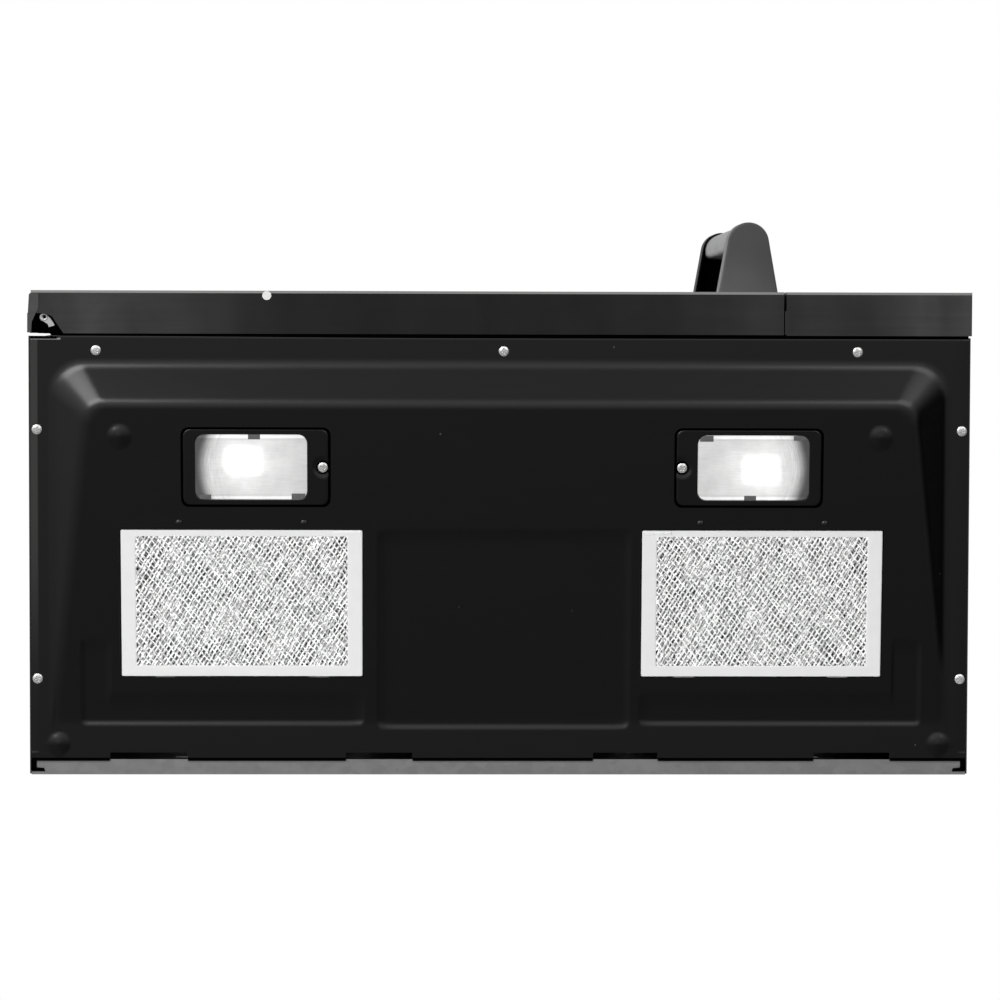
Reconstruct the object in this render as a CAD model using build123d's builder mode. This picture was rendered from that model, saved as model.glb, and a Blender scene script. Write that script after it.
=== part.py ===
"""Over the range microwave, 759 mm wide, hung from a wall plate under a cupboard.

Millimetres. X runs to the right as seen from the front, Y towards the wall and Z up.
The origin is the middle of the row of hanging slots: the wall is the plane Y = 0 and
the flat rim of the base is the plane Z = 0. The stamped panel bulges below that plane.
"""

import math
import os

from build123d import *

os.makedirs("parts", exist_ok=True)

# Overall sizes.
width = 759.0
depth = 353.3
height = 396.0
front_depth = 36.5
grille_height = 46.0
panel_width = 149.6

# Sheet thicknesses and clearances.
sheet = 0.8
base_sheet = 1.0
side_inset = 1.0
door_gap = 2.0
panel_gap = 1.5
slip = 0.3
running = 0.1

# The stamped base and its bulging panel.
rear_ledge = 12.3
bulge_drop = 19.5
bulge_start = 22.5
bulge_inner = 53.0
bulge_end = 310.0
bulge_margin = 22.5
bulge_half_width = width / 2 - bulge_margin
bulge_side_run = 31.0
bulge_corner = 36.0
bend_radius = 12.0
emboss_depth = 1.4
panel_shift = 1.5

# Lamp covers and grease filters.
lamp_length = 119.0
lamp_width = 63.3
lamp_offset = bulge_half_width - 159.7
lamp_back = 104.5
lamp_gap = 0.8
filter_length = 193.5
filter_width = 119.5
filter_offset = bulge_half_width - 148
filter_back = 214.2
filter_thickness = 3.0
filter_gap = 0.7

# The cooking cavity and the parts that turn in it.
cavity_width = width - 239
cavity_height = height - 171
cavity_depth = 318.0
cavity_left_margin = 49.5
cavity_middle = cavity_left_margin + cavity_width / 2 - width / 2
cavity_floor = 66.0
tray_radius = 148.0
ring_radius = 100.0
roller_radius = 8.0

# Door, hinge and handle.
hinge_inset = 14.5
hinge_forward = 15.3
pin_radius = 3.0
handle_x = width / 2 - panel_width - 27.9
handle_reach = 57.2
handle_low = 32.5
handle_length = height - 112
post_thickness = 26.0
post_width = 48.3
bar_width = 32.0
bar_thickness = 22.5

# Blower, fan and exhaust.
wheel_radius = 33.0
wheel_length = 72.0
blade_count = 24
fan_radius = 46.0
fan_blades = 5
exhaust_length = 254.0
exhaust_width = 82.0

# Places worked out from the sizes above.
half_width = width / 2
case_half = half_width - side_inset
base_half = case_half - sheet - slip
front_y = -depth
face_y = front_y - front_depth
door_back = front_y - door_gap
panel_left = half_width - panel_width
door_right = panel_left - 2.1
face_height = height - grille_height
slope = math.degrees(math.atan(bulge_drop / (bulge_end - bulge_inner)))
slope_sin = math.sin(math.radians(slope))
slope_cos = math.cos(math.radians(slope))
panel_plane = Plane(
    origin=(panel_shift, front_y + bulge_inner, -bulge_drop),
    x_dir=(1, 0, 0),
    z_dir=(0, -slope_sin, slope_cos),
)


def block(x_span, y_span, z_span, mode=Mode.ADD):
    """Add or cut a box given by its two limits along each axis."""
    size = [span[1] - span[0] for span in (x_span, y_span, z_span)]
    middle = [(span[0] + span[1]) / 2 for span in (x_span, y_span, z_span)]
    with Locations(tuple(middle)):
        Box(*size, mode=mode)


def rod(plane, radius, length, at=(0, 0), mode=Mode.ADD):
    """Add or cut a round bar standing on a plane."""
    with BuildSketch(plane) as outline:
        with Locations(at):
            Circle(radius)
    extrude(outline.sketch, amount=length, mode=mode)


def slab(plane, size, corner, length, at=(0, 0), mode=Mode.ADD, taper=0.0):
    """Add or cut a plate with rounded corners standing on a plane."""
    with BuildSketch(plane) as outline:
        with Locations(at):
            RectangleRounded(size[0], size[1], corner)
    extrude(outline.sketch, amount=length, taper=taper, mode=mode)


def panel_back(distance):
    """Turn a distance behind the base's front edge into one along the sloping panel."""
    return (distance - bulge_inner) / slope_cos


def panel_level(distance):
    """Height of the sloping panel's underside at a distance behind the front edge."""
    return -bulge_drop + (distance - bulge_inner) * slope_sin / slope_cos


def place_on(plane, x_place, y_place, lift=0.0, turn=0.0):
    """Give the plane moved along itself, lifted and turned about its own normal."""
    return Plane(plane.location * Pos(x_place, y_place, lift) * Rot(0, 0, turn))


def finish(builder, label):
    """Name a finished piece and write it to its own file."""
    builder.part.label = label
    export_step(builder.part, f"parts/{label}.step")


# Base plate. The press tool's shape is made first: a flat rim with the bulge under it,
# its bends, raised and sunk fields and dimples. The sheet is that shape less the same
# shape lifted by the thickness, so every feature shows on both faces.
screw_places = [
    (54.9 - half_width, 11.5),
    (2.5, 11.5),
    (half_width - 92.1, 11.5),
    (6.5 - case_half, 75.0),
    (case_half - 6.5, 75.0),
    (6.5 - case_half, 275.5),
    (case_half - 6.5, 275.5),
]
slot_spans = [
    (65.5 - half_width, 127.9 - half_width),
    (-124.0, -70.6),
    (75.6, 127.7),
    (half_width - 125.5, half_width - 63.8),
]
slot_depth = 5.6

side_taper = math.degrees(math.atan(bulge_side_run / bulge_drop))
bulge_length = depth + 50
bulge_at = (0, front_y + bulge_start + bulge_length / 2)
bulge_size = (2 * bulge_half_width, bulge_length)

with BuildPart() as soft_bulge:
    slab(Plane.XY, bulge_size, bulge_corner, -bulge_drop, bulge_at, taper=side_taper)
    split(bisect_by=panel_plane, keep=Keep.TOP)
    lower_bend = [
        edge
        for edge in soft_bulge.edges()
        if edge.center().Z < -1 and abs(panel_plane.to_local_coords(edge.center()).Z) < 0.01
    ]
    fillet(lower_bend, radius=bend_radius)
    block((-width, width), (front_y - 50, 50), (-2.2, 60))

with BuildPart() as press_form:
    block((-base_half, base_half), (front_y, -rear_ledge), (0, 40))
    slab(Plane.XY, bulge_size, bulge_corner, -bulge_drop, bulge_at, taper=side_taper)
    upper_bend = [
        edge
        for edge in press_form.edges()
        if abs(edge.center().Z) < 0.01
        and front_y + 5 < edge.center().Y < -rear_ledge - 20
        and abs(edge.center().X) < bulge_half_width + 1
    ]
    fillet(upper_bend, radius=bend_radius * 0.75)
    # The bulge's underside slopes up to meet the rim, which is flat from there back.
    with BuildSketch(Plane.YZ):
        with BuildLine():
            Polyline(
                (front_y - 40, panel_level(-40)),
                (front_y + bulge_end, 0),
                (10, 0),
                (10, 60),
                (front_y - 40, 60),
                close=True,
            )
        make_face()
    extrude(amount=width, both=True, mode=Mode.INTERSECT)
    add(soft_bulge.part, mode=Mode.INTERSECT)
    # Sunk fields: one between the filters and an angle round each filter.
    with BuildSketch(panel_plane.offset(-1)):
        with Locations((1.3, panel_back(235.5))):
            RectangleRounded(2 * filter_offset - filter_length - 19.5, 163, 6)
        for side in (-1, 1):
            with Locations((side * (filter_offset + 15.8), panel_back(300.5))):
                Rectangle(filter_length + 36, 27)
            with Locations((side * (filter_offset + 117.5), panel_back(278.5))):
                Rectangle(26, 71)
    extrude(amount=1 + emboss_depth, taper=45, mode=Mode.SUBTRACT)
    # Dimples: two on the panel's front corners and two on the rim behind it.
    for x_place in (51 - bulge_half_width, bulge_half_width - 54):
        with Locations(panel_plane.location * Pos(x_place, panel_back(80), 0)):
            Cone(9.5, 6.5, 6, rotation=(180, 0, 0), align=(Align.CENTER, Align.CENTER, Align.CENTER))
    for x_place in (2 - bulge_half_width, bulge_half_width - 2):
        with Locations((x_place, front_y + 328, 0)):
            Cone(9, 6.5, 5, rotation=(180, 0, 0), align=(Align.CENTER, Align.CENTER, Align.CENTER))

with BuildPart() as base_plate:
    add(press_form.part)
    add(press_form.part.moved(Pos(0, 0, base_sheet)), mode=Mode.SUBTRACT)
    for side in (-1, 1):
        lamp_at = (side * lamp_offset, panel_back(lamp_back))
        filter_at = (side * filter_offset, panel_back(filter_back))
        opening = (lamp_length + lamp_gap, lamp_width + lamp_gap)
        slab(panel_plane.offset(-5), opening, 6.4, 20, lamp_at, Mode.SUBTRACT)
        opening = (filter_length + 2 * filter_gap, filter_width + filter_gap)
        slab(panel_plane.offset(-5), opening, 1.5, 20, filter_at, Mode.SUBTRACT)
        # Half-round lanced holes in front of each filter.
        for hole in (-50, 50):
            with BuildSketch(panel_plane.offset(-5)):
                with Locations((side * filter_offset + hole, panel_back(148.5))):
                    Circle(2.6)
                    Rectangle(6, 2.6, align=(Align.CENTER, Align.MAX), mode=Mode.SUBTRACT)
            extrude(amount=20, mode=Mode.SUBTRACT)
    for span in slot_spans:
        block(span, (-rear_ledge - slot_depth, 0), (-5, 5), Mode.SUBTRACT)
    # The front left corner is set back for the hinge.
    block((-case_half, -case_half + 24), (front_y - 1, front_y + 2), (-5, 5), Mode.SUBTRACT)
    for place in screw_places:
        rod(Plane.XY.offset(-2), 2.2, 6, (place[0], front_y + place[1]), Mode.SUBTRACT)
finish(base_plate, "base_plate")

# Case: one sheet wrapped over the top and both sides, turned in along its lower edges.
bolt_spacing = width - 143
bolt_back = 290.0
exhaust_middle = -62.0
cord_place = (half_width - 79.5, -55.0)
lip = 14.0
case_floor = base_sheet

with BuildPart() as cabinet_shell:
    block((-case_half, case_half), (front_y, -sheet), (0, height))
    inner = (-case_half + sheet, case_half - sheet)
    block(inner, (front_y - 1, 1), (-1, height - sheet), Mode.SUBTRACT)
    for side in (-1, 1):
        turned = sorted((side * (case_half - sheet), side * (case_half - sheet - lip)))
        block(turned, (front_y + 3, -rear_ledge - slot_depth - 4), (case_floor, case_floor + sheet))
    slab(
        Plane.XY.offset(height - 5),
        (exhaust_length, exhaust_width),
        3,
        10,
        (0, exhaust_middle),
        Mode.SUBTRACT,
    )
    for side in (-1, 1):
        bolt_at = (side * bolt_spacing / 2, -bolt_back)
        rod(Plane.XY.offset(height - 5), 3.6, 10, bolt_at, Mode.SUBTRACT)
    rod(Plane.XY.offset(height - 5), 12.0, 10, cord_place, Mode.SUBTRACT)
    for place in screw_places[3:]:
        rod(Plane.XY, 1.6, 5, (place[0], front_y + place[1]), Mode.SUBTRACT)
finish(cabinet_shell, "cabinet_shell")

# Rear panel, with the ledge along the foot that carries the hanging slots.
with BuildPart() as rear_panel:
    block((-base_half, base_half), (-sheet, 0), (case_floor, height - sheet))
    block((-base_half, base_half), (-rear_ledge - slot_depth - 3, 0), (case_floor, case_floor + sheet))
    for span in slot_spans:
        block(span, (-rear_ledge - slot_depth, -rear_ledge), (-5, 5), Mode.SUBTRACT)
    for side in (-1, 1):
        fold = sorted((side * base_half, side * (base_half - sheet)))
        block(fold, (-11, 0), (case_floor, height - sheet))
    with BuildSketch(Plane.XZ):
        with Locations((0, height / 2)):
            with GridLocations(240, 90, 3, 3):
                SlotOverall(60, 6)
    extrude(amount=5, both=True, mode=Mode.SUBTRACT)
finish(rear_panel, "rear_panel")

# Oven cavity: a drawn box with rounded corners behind a flat front flange.
cavity_left = cavity_middle - cavity_width / 2
cavity_right = cavity_middle + cavity_width / 2
cavity_centre_y = front_y + cavity_depth / 2
window_z = cavity_floor + cavity_height - 105
guide_half_width = 46.0
latch_x = (cavity_right + panel_left) / 2
latch_levels = (cavity_floor + 42, cavity_floor + cavity_height - 41)
hub_hole = 9.0

with BuildPart() as oven_cavity:
    flange_top = face_height - 1
    block((-base_half, base_half), (front_y, front_y + sheet), (case_floor + sheet + slip, flange_top))
    # The control panel's wiring passes through an opening in the flange.
    block(
        (panel_left + 12, base_half - 10),
        (front_y - 2, front_y + 3),
        (14, flange_top - 14),
        Mode.SUBTRACT,
    )
    with BuildSketch(Plane.XZ.offset(-front_y)):
        with Locations((cavity_middle, cavity_floor + cavity_height / 2)):
            RectangleRounded(cavity_width + 2 * sheet, cavity_height + 2 * sheet, 16)
    extrude(amount=-(cavity_depth + sheet))
    with BuildSketch(Plane.XZ.offset(-front_y + 1)):
        with Locations((cavity_middle, cavity_floor + cavity_height / 2)):
            RectangleRounded(cavity_width, cavity_height, 16 - sheet)
    extrude(amount=-(cavity_depth + 1), mode=Mode.SUBTRACT)
    rod(
        Plane.XY.offset(cavity_floor - 5),
        hub_hole,
        10,
        (cavity_middle, cavity_centre_y),
        Mode.SUBTRACT,
    )
    block(
        (cavity_right - 5, cavity_right + 5),
        (cavity_centre_y - guide_half_width + 6, cavity_centre_y + guide_half_width - 6),
        (window_z, window_z + 52),
        Mode.SUBTRACT,
    )
    with BuildSketch(Plane.YZ.offset(cavity_left - 5)):
        with Locations((cavity_centre_y + 60, cavity_floor + cavity_height - 60)):
            with GridLocations(12, 12, 6, 4):
                Circle(2.5)
    extrude(amount=10, mode=Mode.SUBTRACT)
    for level in latch_levels:
        block(
            (latch_x - 6, latch_x + 6),
            (front_y - 2, front_y + 3),
            (level - 15, level + 15),
            Mode.SUBTRACT,
        )
    for level in (4.0, flange_top - 12):
        block(
            (-half_width + 3, -half_width + 34),
            (front_y - 2, front_y + 3),
            (level, level + 9),
            Mode.SUBTRACT,
        )
finish(oven_cavity, "oven_cavity")

# Waveguide: a tube that carries the microwaves from the magnetron to the cavity wall.
guide_left = cavity_right + sheet
guide_right = guide_left + 40
guide_low = window_z - 8
guide_high = cavity_floor + cavity_height + 40
guide_front = cavity_centre_y - guide_half_width
guide_rear = cavity_centre_y + guide_half_width
magnetron_level = guide_high - 46

with BuildPart() as waveguide:
    block((guide_left, guide_right), (guide_front, guide_rear), (guide_low, guide_high))
    block(
        (guide_left - 1, guide_right - 1),
        (guide_front + 1, guide_rear - 1),
        (guide_low + 1, guide_high - 1),
        Mode.SUBTRACT,
    )
    rod(
        Plane.YZ.offset(guide_right - 5),
        12.0,
        10,
        (cavity_centre_y, magnetron_level),
        Mode.SUBTRACT,
    )
finish(waveguide, "waveguide")

# Mica cover over the window in the cavity wall.
with BuildPart() as waveguide_cover:
    block(
        (cavity_right - 0.9, cavity_right),
        (cavity_centre_y - guide_half_width, cavity_centre_y + guide_half_width),
        (window_z - 6, window_z + 58),
    )
finish(waveguide_cover, "waveguide_cover")

# Magnetron: cooling fins in a frame, antenna to the left, filter box to the right.
fin_count = 7
magnetron_y = (cavity_centre_y - 42, cavity_centre_y + 42)
magnetron_z = (magnetron_level - 44, magnetron_level + 42)

with BuildPart() as magnetron:
    block((guide_right, guide_right + 3), magnetron_y, magnetron_z)
    rod(Plane.YZ.offset(guide_right - 26), 9.0, 30, (cavity_centre_y, magnetron_level))
    block((guide_right + 52, guide_right + 55), magnetron_y, magnetron_z)
    rod(Plane.YZ.offset(guide_right + 3), 19.0, 49, (cavity_centre_y, magnetron_level))
    for fin in range(fin_count):
        fin_x = guide_right + 8 + fin * 39 / (fin_count - 1)
        block((fin_x, fin_x + 1), magnetron_y, (magnetron_z[0] + 6, magnetron_z[1] - 6))
    block(
        (guide_right + 55, guide_right + 85),
        (magnetron_y[0] + 8, magnetron_y[1] - 8),
        (magnetron_z[0] + 10, magnetron_z[1] - 14),
    )
finish(magnetron, "magnetron")

# Shelf behind the control panel, level with the cavity floor, for the heavy parts.
bay_left = cavity_right + sheet + 2
shelf_left = cavity_right - 30
shelf_right = case_half - sheet
shelf_span = (front_y + 44, -40)

with BuildPart() as bay_shelf:
    block((shelf_left, shelf_right), shelf_span, (cavity_floor - 6, cavity_floor - 4.8))
    block((shelf_right - 1.2, shelf_right), shelf_span, (cavity_floor - 6, cavity_floor + 10))
    block((shelf_left, shelf_left + 12), shelf_span, (cavity_floor - 6, cavity_floor - sheet))
    for edge_span in (
        (shelf_span[0], shelf_span[0] + 1.2),
        (shelf_span[1] - 1.2, shelf_span[1]),
    ):
        block((shelf_left, shelf_right), edge_span, (cavity_floor - 24, cavity_floor - 4.8))
    with BuildSketch(Plane.XY.offset(cavity_floor - 10)):
        with Locations(((bay_left + shelf_right) / 2, -75)):
            with GridLocations(30, 14, 4, 3):
                SlotOverall(22, 6)
    extrude(amount=10, mode=Mode.SUBTRACT)
finish(bay_shelf, "bay_shelf")
shelf_top = cavity_floor - 4.8

# Power transformer: a laminated core round two coils, with a foot flange.
core_size = (90.0, 68.0)
core_x = (bay_left + 62, bay_left + 62 + core_size[0])
core_y = (front_y + 70, front_y + 70 + core_size[1])
with BuildPart() as transformer:
    block((core_x[0], core_x[1]), core_y, (shelf_top, shelf_top + 84))
    for window_x in (core_x[0] + 16, core_x[1] - 36):
        block(
            (window_x, window_x + 20),
            (core_y[0] - 1, core_y[1] + 1),
            (shelf_top + 17, shelf_top + 67),
            Mode.SUBTRACT,
        )
    coil_middle = ((core_x[0] + core_x[1]) / 2, (core_y[0] + core_y[1]) / 2)
    for level in (shelf_top + 17.5, shelf_top + 43):
        slab(Plane.XY.offset(level), (56, 104), 14, 23, coil_middle)
    block(
        (core_x[0] - 12, core_x[1] + 12),
        (core_y[0] + 8, core_y[1] - 8),
        (shelf_top, shelf_top + 2),
    )
finish(transformer, "transformer")

# High voltage capacitor: an oval can with two terminals.
with BuildPart() as capacitor:
    can_at = (bay_left + 28, front_y + 100)
    with BuildSketch(Plane.XY.offset(shelf_top)):
        with Locations(can_at):
            SlotOverall(54, 34, rotation=90)
    extrude(amount=86)
    for side in (-1, 1):
        post_at = (can_at[0], can_at[1] + side * 12)
        rod(Plane.XY.offset(shelf_top + 86), 5.0, 5, post_at)
        rod(Plane.XY.offset(shelf_top + 91), 1.6, 8, post_at)
finish(capacitor, "capacitor")

# Cooling fan: a square duct plate with the motor held behind it on three arms.
fan_at = ((guide_right + shelf_right) / 2, magnetron_level - 40)
fan_y = -72.0
shaft_radius = 2.5

with BuildPart() as cooling_fan_frame:
    slab(Plane.XZ.offset(-fan_y), (112, 112), 6, -2, fan_at)
    rod(Plane.XZ.offset(-fan_y), fan_radius + 5, 16, fan_at)
    rod(Plane.XZ.offset(-fan_y - 5), fan_radius + 3, 30, fan_at, Mode.SUBTRACT)
    with BuildSketch(Plane.XZ.offset(-fan_y)):
        with Locations(fan_at):
            with PolarLocations(fan_radius / 2 + 4, 3, start_angle=90):
                Rectangle(fan_radius + 4, 7)
            Circle(20)
    extrude(amount=-2)
    rod(Plane.XZ.offset(-fan_y - 24), 20.0, 24, fan_at)
    rod(Plane.XZ.offset(-fan_y - 30), shaft_radius + running, 50, fan_at, Mode.SUBTRACT)
    block(
        (fan_at[0] - 50, fan_at[0] + 50),
        (fan_y - 1, fan_y + 2),
        (shelf_top, fan_at[1] - 56),
    )
finish(cooling_fan_frame, "cooling_fan_frame")

with BuildPart() as cooling_fan:
    rod(Plane.XZ.offset(-fan_y + 1), 11.0, 11, fan_at)
    rod(Plane.XZ.offset(-fan_y - 22), shaft_radius, 30, fan_at)
    hub_plane = Plane(origin=(fan_at[0], fan_y - 6.5, fan_at[1]), x_dir=(1, 0, 0), z_dir=(0, -1, 0))
    for blade in range(fan_blades):
        turned = hub_plane.location * Rot(0, 0, blade * 360 / fan_blades) * Pos(fan_radius / 2 + 3, 0, 0)
        with Locations(turned * Rot(28, 0, 0)):
            Box(fan_radius - 8, 17, 1.4)
finish(cooling_fan, "cooling_fan")

# Exhaust blower: one motor between two scroll cases that blow up through the top.
blower_y = exhaust_middle + 3
blower_z = cavity_floor + cavity_height + sheet + 42
blower_top = height - sheet - 16
scroll_radius = wheel_radius + 5
motor_half = 34.0
scroll_half = wheel_length / 2 + 4

with BuildPart() as blower_housing:
    for side in (-1, 1):
        middle_x = side * (motor_half + 1 + scroll_half)
        with BuildSketch(Plane.YZ.offset(middle_x - scroll_half)):
            with Locations((blower_y, blower_z)):
                Circle(scroll_radius)
                Rectangle(
                    2 * scroll_radius,
                    blower_top - blower_z,
                    align=(Align.CENTER, Align.MIN),
                )
        extrude(amount=2 * scroll_half)
        with BuildSketch(Plane.YZ.offset(middle_x - scroll_half + 1)):
            with Locations((blower_y, blower_z)):
                Circle(scroll_radius - 1)
                Rectangle(
                    2 * scroll_radius - 2,
                    blower_top - blower_z + 5,
                    align=(Align.CENTER, Align.MIN),
                )
        extrude(amount=2 * scroll_half - 2, mode=Mode.SUBTRACT)
        rod(
            Plane.YZ.offset(middle_x - scroll_half - 1),
            wheel_radius - 7,
            2 * scroll_half + 2,
            (blower_y, blower_z),
            Mode.SUBTRACT,
        )
    block(
        (-motor_half - 2, motor_half + 2),
        (blower_y - 22, blower_y + 22),
        (blower_z - scroll_radius, blower_z - scroll_radius + 1.5),
    )
    foot_low = cavity_floor + cavity_height + sheet
    for side in (-1, 1):
        foot_x = side * (motor_half + 1 + scroll_half)
        block(
            (foot_x - 20, foot_x + 20),
            (blower_y - 24, blower_y + 24),
            (foot_low, blower_z - scroll_radius + 4),
        )
    for side in (-1, 1):
        middle_x = side * (motor_half + 1 + scroll_half)
        rod(
            Plane.YZ.offset(middle_x - scroll_half + 1),
            scroll_radius - 1,
            2 * scroll_half - 2,
            (blower_y, blower_z),
            Mode.SUBTRACT,
        )
finish(blower_housing, "blower_housing")

with BuildPart() as blower_motor:
    rod(Plane.YZ.offset(-motor_half + 2), 24.0, 2 * motor_half - 4, (blower_y, blower_z))
    block(
        (-18, 18),
        (blower_y - 24, blower_y + 24),
        (blower_z - scroll_radius + 1.5, blower_z - 10),
    )
    rod(Plane.YZ.offset(-motor_half), shaft_radius + running, 80, (blower_y, blower_z), Mode.SUBTRACT)
finish(blower_motor, "blower_motor")

with BuildPart() as blower_wheels:
    reach = motor_half + 1 + scroll_half
    rod(Plane.YZ.offset(-reach - 4), shaft_radius, 2 * reach + 8, (blower_y, blower_z))
    for side in (-1, 1):
        middle_x = side * reach
        rod(Plane.YZ.offset(middle_x - 1), wheel_radius, 2, (blower_y, blower_z))
        for end_x in (middle_x - wheel_length / 2, middle_x + wheel_length / 2 - 2):
            with BuildSketch(Plane.YZ.offset(end_x)):
                with Locations((blower_y, blower_z)):
                    Circle(wheel_radius)
                    Circle(wheel_radius - 5, mode=Mode.SUBTRACT)
            extrude(amount=2)
        with BuildSketch(Plane.YZ.offset(middle_x - wheel_length / 2)):
            with Locations((blower_y, blower_z)):
                with PolarLocations(wheel_radius - 2.6, blade_count):
                    Rectangle(4.4, 0.8, rotation=35)
        extrude(amount=wheel_length)
finish(blower_wheels, "blower_wheels")

# Exhaust collar under the opening in the top, and the damper that lies in it.
collar_wall = 1.2
damper_back = exhaust_middle + exhaust_width / 2 - 4.5
damper_z = height - 5.0
damper_pin = 1.6

with BuildPart() as exhaust_collar:
    slab(
        Plane.XY.offset(height - sheet - 15),
        (exhaust_length + 2 * collar_wall, exhaust_width + 2 * collar_wall),
        4,
        15,
        (0, exhaust_middle),
    )
    slab(
        Plane.XY.offset(height - sheet - 1.2),
        (exhaust_length + 24, exhaust_width + 20),
        5,
        1.2,
        (0, exhaust_middle),
    )
    slab(
        Plane.XY.offset(height - 30),
        (exhaust_length, exhaust_width),
        3,
        40,
        (0, exhaust_middle),
        Mode.SUBTRACT,
    )
    rod(
        Plane.YZ.offset(-exhaust_length / 2 - 5),
        damper_pin + running * 0.8,
        exhaust_length + 10,
        (damper_back, damper_z),
        Mode.SUBTRACT,
    )
finish(exhaust_collar, "exhaust_collar")

with BuildPart() as exhaust_damper:
    block(
        (-exhaust_length / 2 + 3, exhaust_length / 2 - 3),
        (exhaust_middle - exhaust_width / 2 + 2, damper_back),
        (damper_z - 0.6, damper_z + 0.6),
    )
    rod(
        Plane.YZ.offset(-exhaust_length / 2 - 1),
        damper_pin,
        exhaust_length + 2,
        (damper_back, damper_z),
    )
    for rib_x in (-60, 0, 60):
        block(
            (rib_x - 0.8, rib_x + 0.8),
            (exhaust_middle - exhaust_width / 2 + 8, damper_back - 6),
            (damper_z, damper_z + 3),
        )
finish(exhaust_damper, "exhaust_damper")

# Nuts welded under the top for the two bolts that come down through the cupboard.
with BuildPart() as mounting_nuts:
    for side in (-1, 1):
        bolt_at = (side * bolt_spacing / 2, -bolt_back)
        slab(Plane.XY.offset(height - sheet - 7), (18, 18), 1, 7, bolt_at)
        rod(Plane.XY.offset(height - 20), 3.0, 30, bolt_at, Mode.SUBTRACT)
finish(mounting_nuts, "mounting_nuts")

# Bushing in the hole through which the supply cord leaves.
with BuildPart() as cord_bushing:
    rod(Plane.XY.offset(height - 9), 12.0, 9, cord_place)
    rod(Plane.XY.offset(height), 15.0, 2, cord_place)
    rod(Plane.XY.offset(height - 9), 13.5, 9 - sheet, cord_place)
    rod(Plane.XY.offset(height - 20), 5.0, 40, cord_place, Mode.SUBTRACT)
finish(cord_bushing, "cord_bushing")

# Turntable motor under the cavity floor.
with BuildPart() as turntable_motor:
    floor_under = cavity_floor - sheet
    rod(Plane.XY.offset(floor_under - 18), 25.0, 18, (cavity_middle, cavity_centre_y))
    block(
        (cavity_middle - 36, cavity_middle + 36),
        (cavity_centre_y - 8, cavity_centre_y + 8),
        (floor_under - 1.5, floor_under),
    )
    rod(
        Plane.XY.offset(floor_under - 12),
        hub_hole,
        20,
        (cavity_middle, cavity_centre_y),
        Mode.SUBTRACT,
    )
finish(turntable_motor, "turntable_motor")

# Drive hub: a shaft up through the floor with a three-lobed head under the tray.
tray_under = cavity_floor + 2 * roller_radius + 2 * slip
hub_top = tray_under + 3
with BuildPart() as turntable_hub:
    rod(
        Plane.XY.offset(cavity_floor - sheet - 11.5),
        5.0,
        20,
        (cavity_middle, cavity_centre_y),
    )
    with BuildSketch(Plane.XY.offset(cavity_floor + 6)):
        with Locations((cavity_middle, cavity_centre_y)):
            Circle(10)
            with PolarLocations(13, 3):
                Circle(5.5)
    extrude(amount=hub_top - cavity_floor - 6)
finish(turntable_hub, "turntable_hub")

# Roller ring that runs on the cavity floor between the hub and the tray.
with BuildPart() as roller_ring:
    roller_z = cavity_floor + slip + roller_radius
    with BuildSketch(Plane.XY.offset(roller_z - 2)):
        with Locations((cavity_middle, cavity_centre_y)):
            Circle(ring_radius - 5)
            Circle(ring_radius - 13, mode=Mode.SUBTRACT)
    extrude(amount=4)
    for turn in (30, 150, 270):
        turned = Pos(cavity_middle, cavity_centre_y, roller_z) * Rot(0, 0, turn)
        with Locations(turned * Pos(ring_radius - 1, 0, 0) * Rot(0, 90, 0)):
            Cylinder(2.2, 14)
        with Locations(turned * Pos(ring_radius + 2, 0, 0) * Rot(0, 90, 0)):
            Cylinder(roller_radius, 8)
finish(roller_ring, "roller_ring")

# Glass tray: a flat disc with a raised rim and three lugs that the hub drives.
with BuildPart() as glass_tray:
    with BuildSketch(Plane.XZ):
        with BuildLine():
            Polyline(
                (0, tray_under),
                (tray_radius - 16, tray_under),
                (tray_radius, tray_under + 9),
                (tray_radius, tray_under + 12),
                (tray_radius - 2, tray_under + 12),
                (tray_radius - 17, tray_under + 4.5),
                (0, tray_under + 4.5),
                close=True,
            )
        make_face()
    revolve(axis=Axis.Z)
    rod(Plane.XY.offset(tray_under - 1), 23.0, 4.2, mode=Mode.SUBTRACT)
    with BuildSketch(Plane.XY.offset(tray_under - 4)):
        with PolarLocations(18, 3, start_angle=60):
            Circle(4)
    extrude(amount=7.4)
glass_tray.part = Pos(cavity_middle, cavity_centre_y, 0) * glass_tray.part
finish(glass_tray, "glass_tray")

# Lamp housings, bulbs, hinged covers, their glasses and screws. The right-hand set is
# the left-hand one turned half a turn on the panel, so each cover hinges at its outer end.
cover_size = (lamp_length - lamp_gap, lamp_width - lamp_gap)
cover_sheet = 1.2
glass_size = (90.0, 52.0)
glass_offset = 3.1
screw_inset = 5.5
lamp_box = (lamp_length + 24, lamp_width + 8)
lamp_height = 40.0
lamp_turn = {"left": 180.0, "right": 0.0}
bulb_level = 21.0

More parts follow.
